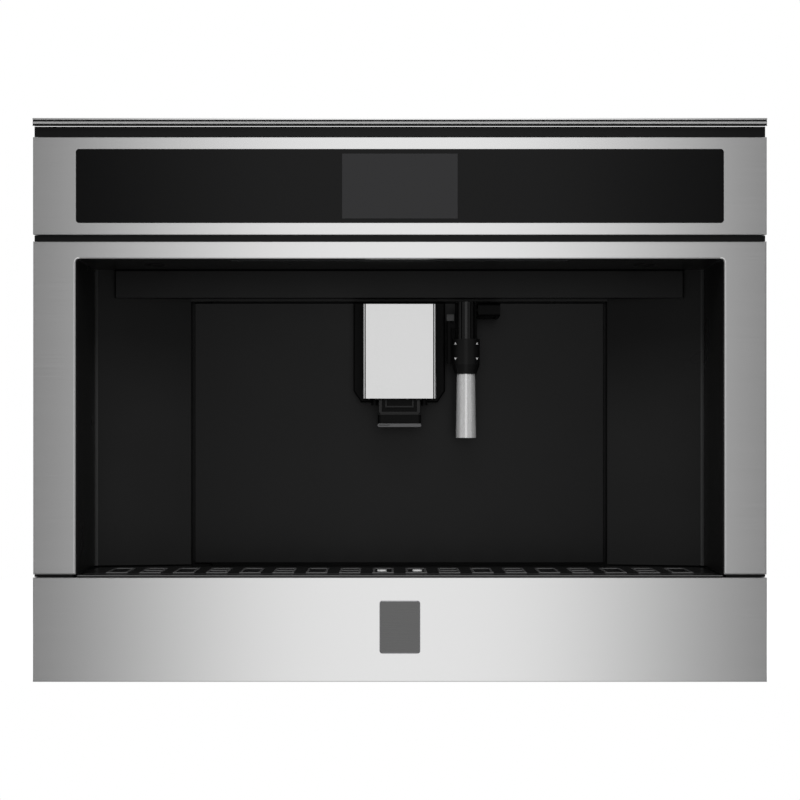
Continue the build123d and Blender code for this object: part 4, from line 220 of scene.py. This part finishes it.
# ---- Bean hopper, grinder and chute ----
# Smoked hopper and lid over a grinder with steel burrs, a painted motor below it, and the grey
# chute for ground coffee. The knob on top sets the grind.
smoked = moulded("smoked_plastic", (0.03, 0.028, 0.026), (0.045, 0.042, 0.04), (0.1, 0.16), 900, 0.004 * MM)
dress(smoked, "bean_hopper", "bean_lid")
grey_moulding = moulded(
    "grey_moulding", (0.1, 0.1, 0.104), (0.13, 0.13, 0.135), (0.42, 0.54), 2200, 0.02 * MM
)
dress(
    grey_moulding, "doser_chute", "chute_lid", "grinder_housing", "grind_knob", "brew_unit",
    "brew_motor", "grounds_container", "tank_seat", "tank_lid",
)
burr_steel = metal(
    "burr_steel", (0.4, 0.4, 0.41), (0.55, 0.55, 0.57), (0.3, 0.42), (1, 1, 1), 1200, 0.02 * MM
)
dress(burr_steel, "upper_burr", "lower_burr", "boilers")
motor_paint = moulded("motor_paint", (0.2, 0.2, 0.205), (0.26, 0.26, 0.265), (0.4, 0.5), 1400, 0.02 * MM)
dress(motor_paint, "grinder_motor", "water_pump")

# ---- Water tank, hoses and mains board ----
# A glossy blue-grey plastic tank that stands on its seat, soft silicone hoses, and a green circuit
# board.
tank_plastic = moulded("tank_plastic", (0.5, 0.55, 0.58), (0.56, 0.61, 0.64), (0.08, 0.14), 700, 0.003 * MM)
dress(tank_plastic, "water_tank")
silicone = moulded("silicone", (0.7, 0.7, 0.68), (0.78, 0.78, 0.76), (0.45, 0.6), 1200, 0.01 * MM)
dress(silicone, "water_hoses")
board_green = moulded("board_green", (0.03, 0.14, 0.06), (0.05, 0.2, 0.09), (0.3, 0.45), 600, 0.02 * MM)
dress(board_green, "power_board")

# ---- Front carrier ----
# The black moulding behind the stainless fronts, which shows as the dark lines between them, and
# the black bulkhead sheet behind it.
FRONT_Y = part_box("lower_panel")[0].y


def satin_moulding(name):
    return moulded(
        name, (0.0022, 0.0022, 0.0023), (0.003, 0.003, 0.0031), (0.27, 0.31), 3200, 0.006 * MM, 0.22
    )


satin_black = satin_moulding("satin_black")
dress(satin_black, "front_carrier", "bulkhead")

# ---- Stainless fronts ----
# Top trim, control fascia, niche frame and lower panel, folded from stainless sheet and brushed
# from side to side, so that a soft light in front of them spreads upright.
def brushed_stainless(name):
    return metal(name, (0.785, 0.785, 0.785), (0.815, 0.815, 0.815), (0.16, 0.2), (1, 1, 300), 8, 0.003 * MM)


stainless = brushed_stainless("brushed_stainless")
dress(stainless, "control_fascia", "niche_frame", "lower_panel")
trim_low, trim_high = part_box("top_trim")
TRIM_LIP = 1.8 * MM
TRIM_RIB = (1.8 * MM, 3.6 * MM)
TRIM_GROOVE = (1.1 * MM, 1.7 * MM)
TRIM_TOP_SHEET = 1.25 * MM


def trim_rib(add, link):
    return within(add, link, "Z", trim_low.z + TRIM_RIB[0], trim_low.z + TRIM_RIB[1])


def trim_lip_shade(add, link):
    return within(add, link, "Z", trim_low.z, trim_low.z + TRIM_LIP)


def trim_top_highlight(add, link):
    return within(add, link, "Z", trim_high.z - TRIM_TOP_SHEET, trim_high.z)


def trim_groove_shade(add, link):
    """Painted shade: what lies deeper than the trim's lip and rib, below its top sheet, is painted dark."""
    depth = within(add, link, "Y", trim_low.y + TRIM_GROOVE[0], trim_low.y + TRIM_GROOVE[1])
    return combined(add, link, depth, within(add, link, "Z", trim_low.z, trim_high.z - TRIM_TOP_SHEET))


trim_steel = recoloured(brushed_stainless("trim_stainless"), trim_rib, (0.78, 0.78, 0.78), 0.5)
# The top sheet is painted near white: a painted highlight.
recoloured(trim_steel, trim_top_highlight, (0.98, 0.98, 0.98))
# The lip along the trim's bottom is painted dark: painted shade.
recoloured(trim_steel, trim_lip_shade, (0.07, 0.07, 0.07), 0.4)
# The grooves below the top sheet are painted dark: painted shade in the recesses.
dress(recoloured(trim_steel, trim_groove_shade, (0.03, 0.03, 0.03), 0.5), "top_trim")

# ---- Front plate ----
# A bare plate of dark enamelled steel with a bright bevelled rim, stamped from sheet and glued to
# the lower panel's middle.
PLATE_SIZE = (33 * MM, 43 * MM)
PLATE_AT = (0, 45.2 * MM)
PLATE_R = 2.5 * MM
PLATE_T = 0.55 * MM
PLATE_EDGE = 0.2 * MM
PLATE_BEVEL = 0.7 * MM
scene = bpy.context.scene


def rounded_outline(width, height, radius, steps=6):
    """Points of a rounded rectangle round the origin, in X and Z."""
    points = []
    for corner, (sx, sz) in enumerate(((1, 1), (-1, 1), (-1, -1), (1, -1))):
        for i in range(steps + 1):
            angle = pi / 2 * (corner + i / steps)
            x = sx * (width / 2 - radius) + radius * cos(angle)
            points.append((x, sz * (height / 2 - radius) + radius * sin(angle)))
    return points


def rings_to_mesh(name, rings, materials, ring_materials):
    """A closed solid through rings of points, each joined to the next, with flat ends."""
    count = len(rings[0])
    points = [point for ring in rings for point in ring]
    faces = [tuple(range(count)), tuple(reversed(range(len(points) - count, len(points))))]
    for near in range(0, len(points) - count, count):
        far = near + count
        for i in range(count):
            j = (i + 1) % count
            faces.append((near + i, far + i, far + j, near + j))
    mesh = bpy.data.meshes.new(name)
    mesh.from_pydata(points, [], faces)
    for material in materials:
        mesh.materials.append(material)
    for face, index in zip(mesh.polygons, ring_materials(count)):
        face.material_index = index
    recalculated = bmesh.new()
    recalculated.from_mesh(mesh)
    bmesh.ops.recalc_face_normals(recalculated, faces=recalculated.faces)
    recalculated.to_mesh(mesh)
    recalculated.free()
    body = bpy.data.objects.new(name, mesh)
    scene.collection.objects.link(body)
    return body


def plate_ring(inset, proud):
    width, height = PLATE_SIZE
    outline = rounded_outline(width - 2 * inset, height - 2 * inset, PLATE_R - inset)
    return [(PLATE_AT[0] + x, FRONT_Y - proud, PLATE_AT[1] + z) for x, z in outline]


plate_enamel = metal(
    "plate_enamel", (0.145, 0.145, 0.145), (0.16, 0.16, 0.16), (0.24, 0.3), (1, 1, 300), 8, 0.002 * MM
)
front_plate = rings_to_mesh(
    "front_plate",
    [plate_ring(0, -PLATE_EDGE), plate_ring(0, PLATE_EDGE), plate_ring(PLATE_BEVEL, PLATE_T)],
    [plate_enamel, bright_steel],
    lambda count: [1, 0] + [1] * (2 * count),
)
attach(front_plate, "drip_drawer")

# ---- Control glass and display ----
# A glass pane set flush into the fascia, printed black on its back. The print has a grey window in
# its middle, over the touch display.
WINDOW = (93.5 * MM, 52.5 * MM)
glass_low, glass_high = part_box("control_glass")
glass_middle = (glass_low.z + glass_high.z) / 2


def display_window(add, link):
    across = within(add, link, "X", -WINDOW[0] / 2, WINDOW[0] / 2)
    upright = within(add, link, "Z", glass_middle - WINDOW[1] / 2, glass_middle + WINDOW[1] / 2)
    return combined(add, link, across, upright)


black_glass = moulded(
    "black_glass", (0.0015, 0.0015, 0.0016), (0.002, 0.002, 0.0021), (0.1, 0.13), 60, 0.0005 * MM, 0.16
)
dress(recoloured(black_glass, display_window, (0.022, 0.022, 0.023)), "control_glass")
screen = moulded("screen", (0.03, 0.03, 0.032), (0.036, 0.036, 0.038), (0.2, 0.25), 1200, 0.004 * MM)
dress(screen, "display_module")

# ---- Niche ----
# Satin black lining with angled rear corners, the header across its ceiling, and the long light
# lens over the cups.
LINER_SIDE = 262.4 * MM
LINER_BEND = 2.6 * MM
LINER_FACE = 0.1 * MM


def liner_bend_highlight(add, link):
    left = within(add, link, "X", LINER_FACE - LINER_SIDE, LINER_BEND - LINER_SIDE)
    right = within(add, link, "X", LINER_SIDE - LINER_BEND, LINER_SIDE - LINER_FACE)
    return combined(add, link, left, right, "MAXIMUM")


liner_black = moulded(
    "liner_black", (0.011, 0.011, 0.011), (0.013, 0.013, 0.013), (0.27, 0.31), 3200, 0.006 * MM, 0.22
)
header_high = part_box("header_panel")[1]
HEADER_JOINT = 1.2 * MM


def header_joint(add, link):
    return within(add, link, "Z", header_high.z - HEADER_JOINT, header_high.z)


header_black = recoloured(
    satin_moulding("header_black"), header_joint, (0.0005, 0.0005, 0.0005), 0.6, 0.02
)
dress(header_black, "header_panel")
# The liner's bends at the rear corners are painted lighter: a painted highlight.
dress(recoloured(liner_black, liner_bend_highlight, (0.045, 0.045, 0.045)), "niche_liner")
LENS_RIM = 0.8 * MM
LENS_FLANGE = 4 * MM
lens_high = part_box("cup_light_lens")[1]


def lens_rim_highlight(add, link):
    rear = lens_high.y - LENS_FLANGE
    return within(add, link, "Y", rear - LENS_RIM, rear + LENS_RIM)


smoked_lens = moulded(
    "smoked_lens", (0.006, 0.006, 0.006), (0.009, 0.009, 0.009), (0.18, 0.24), 1500, 0.006 * MM, 0.4
)
# The lens's rim is painted lighter: a painted highlight.
dress(recoloured(smoked_lens, lens_rim_highlight, (0.12, 0.12, 0.12)), "cup_light_lens")

# ---- Service door, spout and wand ----
# The black door at the back of the niche carries the spout, which slides on it, and the wand. The
# spout has a brushed plate in front, a recessed outlet block, and a grey bar to pull it by.
deep_black = moulded(
    "deep_black", (0.0015, 0.0015, 0.0015), (0.002, 0.002, 0.002), (0.4, 0.5), 3200, 0.012 * MM, 0.12
)
dress(satin_black, "door_panel")
dress(
    deep_black, "spout_guide", "spout_shell", "wand_bracket", "door_hinge_pins", "door_hinge_brackets"
)
ring_black = moulded(
    "ring_black", (0.006, 0.006, 0.006), (0.0075, 0.0075, 0.0075), (0.35, 0.42), 3200, 0.01 * MM, 0.2
)
dress(ring_black, "selector_ring")
plate_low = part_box("spout_plate")[0]
PLATE_GROOVE = (0.6 * MM, 1.1 * MM)


def plate_groove_shade(add, link):
    return within(add, link, "Y", plate_low.y + PLATE_GROOVE[0], plate_low.y + PLATE_GROOVE[1])


plate_steel = metal(
    "plate_stainless", (0.74, 0.74, 0.74), (0.8, 0.8, 0.8), (0.2, 0.26), (1, 1, 300), 8, 0.003 * MM
)
# The spout plate's grooves are painted dark: painted shade in the recesses.
dress(recoloured(plate_steel, plate_groove_shade, (0.05, 0.05, 0.05), 0.5), "spout_plate")
nozzle_low, nozzle_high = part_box("spout_nozzles")
NOZZLE_RIMS = 3.4 * MM
SKIRT_TOP = 7.6 * MM


def nozzle_rim_highlight(add, link):
    front = within(add, link, "Y", nozzle_low.y, nozzle_low.y + NOZZLE_RIMS)
    return combined(add, link, front, within(add, link, "Z", nozzle_low.z + SKIRT_TOP, nozzle_high.z))


outlet_black = moulded(
    "outlet_black", (0.0012, 0.0012, 0.0012), (0.0018, 0.0018, 0.0018), (0.3, 0.36), 3200, 0.008 * MM, 0.1
)
# The outlet block's front rims are painted lighter, a painted highlight, and its recesses stay darker as
# painted shade.
dress(recoloured(outlet_black, nozzle_rim_highlight, (0.02, 0.02, 0.02), 0.3), "spout_nozzles")
grip_grey = moulded("grip_grey", (0.07, 0.07, 0.072), (0.09, 0.09, 0.092), (0.3, 0.36), 2200, 0.01 * MM)
dress(grip_grey, "spout_grip")
tube_steel = metal(
    "tube_steel", (0.78, 0.78, 0.78), (0.84, 0.84, 0.84), (0.24, 0.3), (300, 300, 1), 8, 0.002 * MM
)
tube_steel.node_tree.nodes["Principled BSDF"].inputs["Metallic"].default_value = 0.5
dress(tube_steel, "frother_sleeve")
rib_black = moulded(
    "rib_black", (0.003, 0.003, 0.003), (0.004, 0.004, 0.004), (0.2, 0.26), 3200, 0.004 * MM, 0.5
)
dress(rib_black, "wand_arm")
tab_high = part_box("wand_tab")[1]
TAB_KNOB = 5.4 * MM


def tab_knob(add, link):
    return within(add, link, "Z", tab_high.z - TAB_KNOB, tab_high.z + TAB_KNOB)


tab_black = moulded(
    "tab_black", (0.0012, 0.0012, 0.0012), (0.0018, 0.0018, 0.0018), (0.4, 0.46), 3200, 0.008 * MM, 0.08
)
dress(recoloured(tab_black, tab_knob, (0.1, 0.1, 0.1)), "wand_tab")

# ---- Marks on the selector ring ----
# Four white triangles printed on the ring: two point up and two point down, one each way at the
# left and at the right of the front, for the ring's two positions.
ring_low, ring_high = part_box("selector_ring")
RING_MARK = (3.4 * MM, 2.0 * MM)
RING_MARK_TURN = radians(51.5)
RING_MARK_HEIGHTS = ((25.6 * MM, 1), (12.4 * MM, -1))
INK = 0.06 * MM
mark_white = moulded("mark_white", (0.84, 0.84, 0.84), (0.9, 0.9, 0.9), (0.4, 0.5), 1500, 0.01 * MM)


def ring_mark(name, turn, height, way):
    """A triangle of ink that follows the ring's round side."""
    centre = (ring_low + ring_high) / 2
    radius = (ring_high.x - ring_low.x) / 2
    width, tall = RING_MARK
    shares = [(-1, 0), (-0.5, 0), (0, 0), (0.5, 0), (1, 0), (0.5, 0.5), (0, 1), (-0.5, 0.5)]

    def ring(level):
        points = []
        for across, up in shares:
            angle = turn + across * width / 2 / radius
            x = centre.x + level * sin(angle)
            points.append((x, centre.y - level * cos(angle), ring_low.z + height + way * (up - 0.5) * tall))
        return points

    mark = rings_to_mesh(
        name, [ring(radius - INK), ring(radius + INK)], [mark_white], lambda count: [0] * (count + 2)
    )
    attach(mark, "milk_selector")


for side, turn in (("left", -RING_MARK_TURN), ("right", RING_MARK_TURN)):
    for height, way in RING_MARK_HEIGHTS:
        ring_mark(f"ring_mark_{side}_{'up' if way > 0 else 'down'}", turn, height, way)

# ---- Drip tray, cup grate and marks ----
# The deep black tray comes out with the lower panel. The grate lies in it, and two white discs
# show where the cups stand.
def grate_coating(name):
    return moulded(name, (0.003, 0.003, 0.003), (0.004, 0.004, 0.004), (0.2, 0.26), 3200, 0.006 * MM, 0.5)


grate_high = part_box("cup_grate")[1]
RIM_TOP = 0.75 * MM


def grate_rim_highlight(add, link):
    return within(add, link, "Z", grate_high.z - RIM_TOP, grate_high.z + RIM_TOP)


tray_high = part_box("drip_tray")[1]
LIP_EDGE = 0.5 * MM
LIP_DEPTH = 4 * MM


def lip_edge_highlight(add, link):
    front = within(add, link, "Y", FRONT_Y, FRONT_Y + LIP_DEPTH)
    return combined(add, link, front, within(add, link, "Z", tray_high.z - LIP_EDGE, tray_high.z + LIP_EDGE))


# The tray's front lip is painted lighter along its top edge: a painted highlight.
dress(recoloured(grate_coating("grate_black"), lip_edge_highlight, (0.12, 0.12, 0.12)), "drip_tray")
# The tops of the grate's rims are painted grey: a painted highlight.
dress(recoloured(grate_coating("grate_satin"), grate_rim_highlight, (0.1, 0.1, 0.1)), "cup_grate")
dress(mark_white, "cup_marks")

# ---- Floor, surround and lamp ----
# A white floor that keeps the object's shadow, in a white surround. A tall screen in front, white
# in its middle and grey towards its sides, shades the steel with its wings over, under and beside
# the object, and a soft lamp lights the rest.
SCREEN_AWAY = 2.4
SCREEN_MIDDLE = 0.02
SCREEN_HALF = 4.0
SCREEN_UPRIGHT = (-1.5, 2.5)
FLOOR_SETBACK = 0.02
FLOOR_HALF = 0.9
FLOOR_REAR = 1.2
FLOOR_SHADE = 0.35
FLOOR_GLOW = 0.85
SURROUND_LIGHT = 0.5
SCREEN_GLOW = (
    (0.0, 1.2), (0.05, 1.08), (0.1, 0.69), (0.15, 0.27),
    (0.19, 0.11), (0.26, 0.12), (0.42, 0.32), (1.0, 0.28),
)
LOWER_GLOW = 0.5
LAMP_AT = (0, FRONT_Y - 2.0, 1.7)
LAMP_AIM = (0, 0, 0.2)
LAMP_SIZE = (1.4, 1.0)
LAMP_POWER = 40
scene.view_settings.view_transform = "Standard"


def plane(name, corners):
    mesh = bpy.data.meshes.new(name)
    mesh.from_pydata(corners, [], [(0, 1, 2, 3)])
    body = bpy.data.objects.new(name, mesh)
    scene.collection.objects.link(body)
    return body


def bare_tree(owner):
    """The owner's empty node tree, as a function that adds a node and one that links two."""
    owner.use_nodes = True
    owner.node_tree.nodes.clear()
    return node_adder(owner.node_tree), owner.node_tree.links.new


def shown_ray(add, link):
    """1 for what the camera, a mirror or a pane of glass sees."""
    path = add("ShaderNodeLightPath")
    total = path.outputs["Is Camera Ray"]
    for kind in ("Is Glossy Ray", "Is Transmission Ray"):
        either = add("ShaderNodeMath", operation="MAXIMUM")
        link(total, either.inputs[0])
        link(path.outputs[kind], either.inputs[1])
        total = either.outputs[0]
    return total


def white_where_shown(add, link, lit, shown, out):
    mixed = add("ShaderNodeMixShader")
    link(shown_ray(add, link), mixed.inputs["Fac"])
    link(lit.outputs[0], mixed.inputs[1])
    link(shown.outputs[0], mixed.inputs[2])
    link(mixed.outputs[0], out.inputs["Surface"])


def around_square(first, second):
    """The corners of a rectangle between two pairs of limits, in order."""
    return [(first[0], second[0]), (first[1], second[0]), (first[1], second[1]), (first[0], second[1])]


floor_front = FRONT_Y + FLOOR_SETBACK
floor_corners = around_square((-FLOOR_HALF, FLOOR_HALF), (floor_front, FLOOR_REAR))
floor = plane("floor", [(x, y, 0) for x, y in floor_corners])
floor_paint = bpy.data.materials.new("floor_paint")
add, link = bare_tree(floor_paint)
surface = add("ShaderNodeBsdfDiffuse")
surface.inputs["Color"].default_value = (FLOOR_SHADE, FLOOR_SHADE, FLOOR_SHADE, 1)
glow = add("ShaderNodeEmission")
glow.inputs["Strength"].default_value = FLOOR_GLOW
both = add("ShaderNodeAddShader")
link(surface.outputs[0], both.inputs[0])
link(glow.outputs[0], both.inputs[1])
white_where_shown(add, link, surface, both, add("ShaderNodeOutputMaterial"))
floor.data.materials.append(floor_paint)

world = bpy.data.worlds.new("surround")
scene.world = world
add, link = bare_tree(world)
soft = add("ShaderNodeBackground")
soft.inputs["Color"].default_value = (1, 1, 1, 1)
soft.inputs["Strength"].default_value = SURROUND_LIGHT
white = add("ShaderNodeBackground")
white.inputs["Color"].default_value = (1, 1, 1, 1)
white.inputs["Strength"].default_value = 1.0
white_where_shown(add, link, soft, white, add("ShaderNodeOutputWorld"))

screen_y = FRONT_Y - SCREEN_AWAY
screen_back = screen_y + 2 * SCREEN_AWAY
across, upright = (-SCREEN_HALF, SCREEN_HALF), SCREEN_UPRIGHT
screens = [plane("front_screen", [(x, screen_y, z) for x, z in around_square(across, upright)])]
for level, z in zip(("lower", "upper"), upright):
    corners = around_square(across, (screen_y, screen_back))
    screens.append(plane(f"{level}_screen", [(x, y, z) for x, y in corners]))
for side, x in zip(("left", "right"), across):
    corners = around_square((screen_y, screen_back), upright)
    screens.append(plane(f"{side}_screen", [(x, y, z) for y, z in corners]))


def screen_cloth(name, strength):
    """Cloth that glows by its distance from the screen's middle, and the same at every height."""
    cloth = bpy.data.materials.new(name)
    add, link = bare_tree(cloth)
    shifted = add("ShaderNodeMath", operation="SUBTRACT")
    shifted.inputs[1].default_value = SCREEN_MIDDLE
    link(object_part(add, link, "X"), shifted.inputs[0])
    outward = add("ShaderNodeMath", operation="ABSOLUTE")
    link(shifted.outputs[0], outward.inputs[0])
    share = add("ShaderNodeMath", operation="DIVIDE")
    share.inputs[1].default_value = SCREEN_HALF
    link(outward.outputs[0], share.inputs[0])
    fade = add("ShaderNodeValToRGB")
    fade.color_ramp.interpolation = "B_SPLINE"
    while len(fade.color_ramp.elements) < len(SCREEN_GLOW):
        fade.color_ramp.elements.new(0.5)
    for element, (position, level) in zip(fade.color_ramp.elements, SCREEN_GLOW):
        element.position = position
        element.color = (level, level, level, 1)
    link(share.outputs[0], fade.inputs["Fac"])
    glow = add("ShaderNodeEmission")
    glow.inputs["Strength"].default_value = strength
    link(fade.outputs["Color"], glow.inputs["Color"])
    link(glow.outputs[0], add("ShaderNodeOutputMaterial").inputs["Surface"])
    return cloth


bright_cloth = screen_cloth("bright_cloth", 1)
dim_cloth = screen_cloth("dim_cloth", LOWER_GLOW)
for screen_part in screens:
    screen_part.data.materials.append(dim_cloth if screen_part.name == "lower_screen" else bright_cloth)
    screen_part.visible_camera = False
    screen_part.visible_shadow = False
    screen_part.visible_diffuse = screen_part is screens[0]


def soft_lamp(name, place, target, size, energy):
    lamp = bpy.data.lights.new(name, "AREA")
    lamp.shape = "RECTANGLE"
    lamp.size, lamp.size_y = size
    lamp.energy = energy
    body = bpy.data.objects.new(name, lamp)
    body.location = place
    body.rotation_euler = (Vector(target) - Vector(place)).to_track_quat("-Z", "Y").to_euler()
    body.visible_glossy = False
    scene.collection.objects.link(body)


soft_lamp("front_lamp", LAMP_AT, LAMP_AIM, LAMP_SIZE, LAMP_POWER)

# ---- Camera ----
# Level, two metres in front of the stainless, a little left of the middle and below the middle of
# the niche, with a long lens and a small shift that centres the object.
CAMERA_AWAY = 2.0
CAMERA_X = -8 * MM
CAMERA_Z = 199.2 * MM
camera = bpy.data.cameras.new("camera")
camera.sensor_width = 36.0
camera.lens = 111.1
camera.shift_x = 0.0125
camera.shift_y = 0.04625
camera_body = bpy.data.objects.new("camera", camera)
camera_body.location = (CAMERA_X, FRONT_Y - CAMERA_AWAY, CAMERA_Z)
camera_body.rotation_euler = (radians(90), 0, 0)
scene.collection.objects.link(camera_body)
scene.camera = camera_body
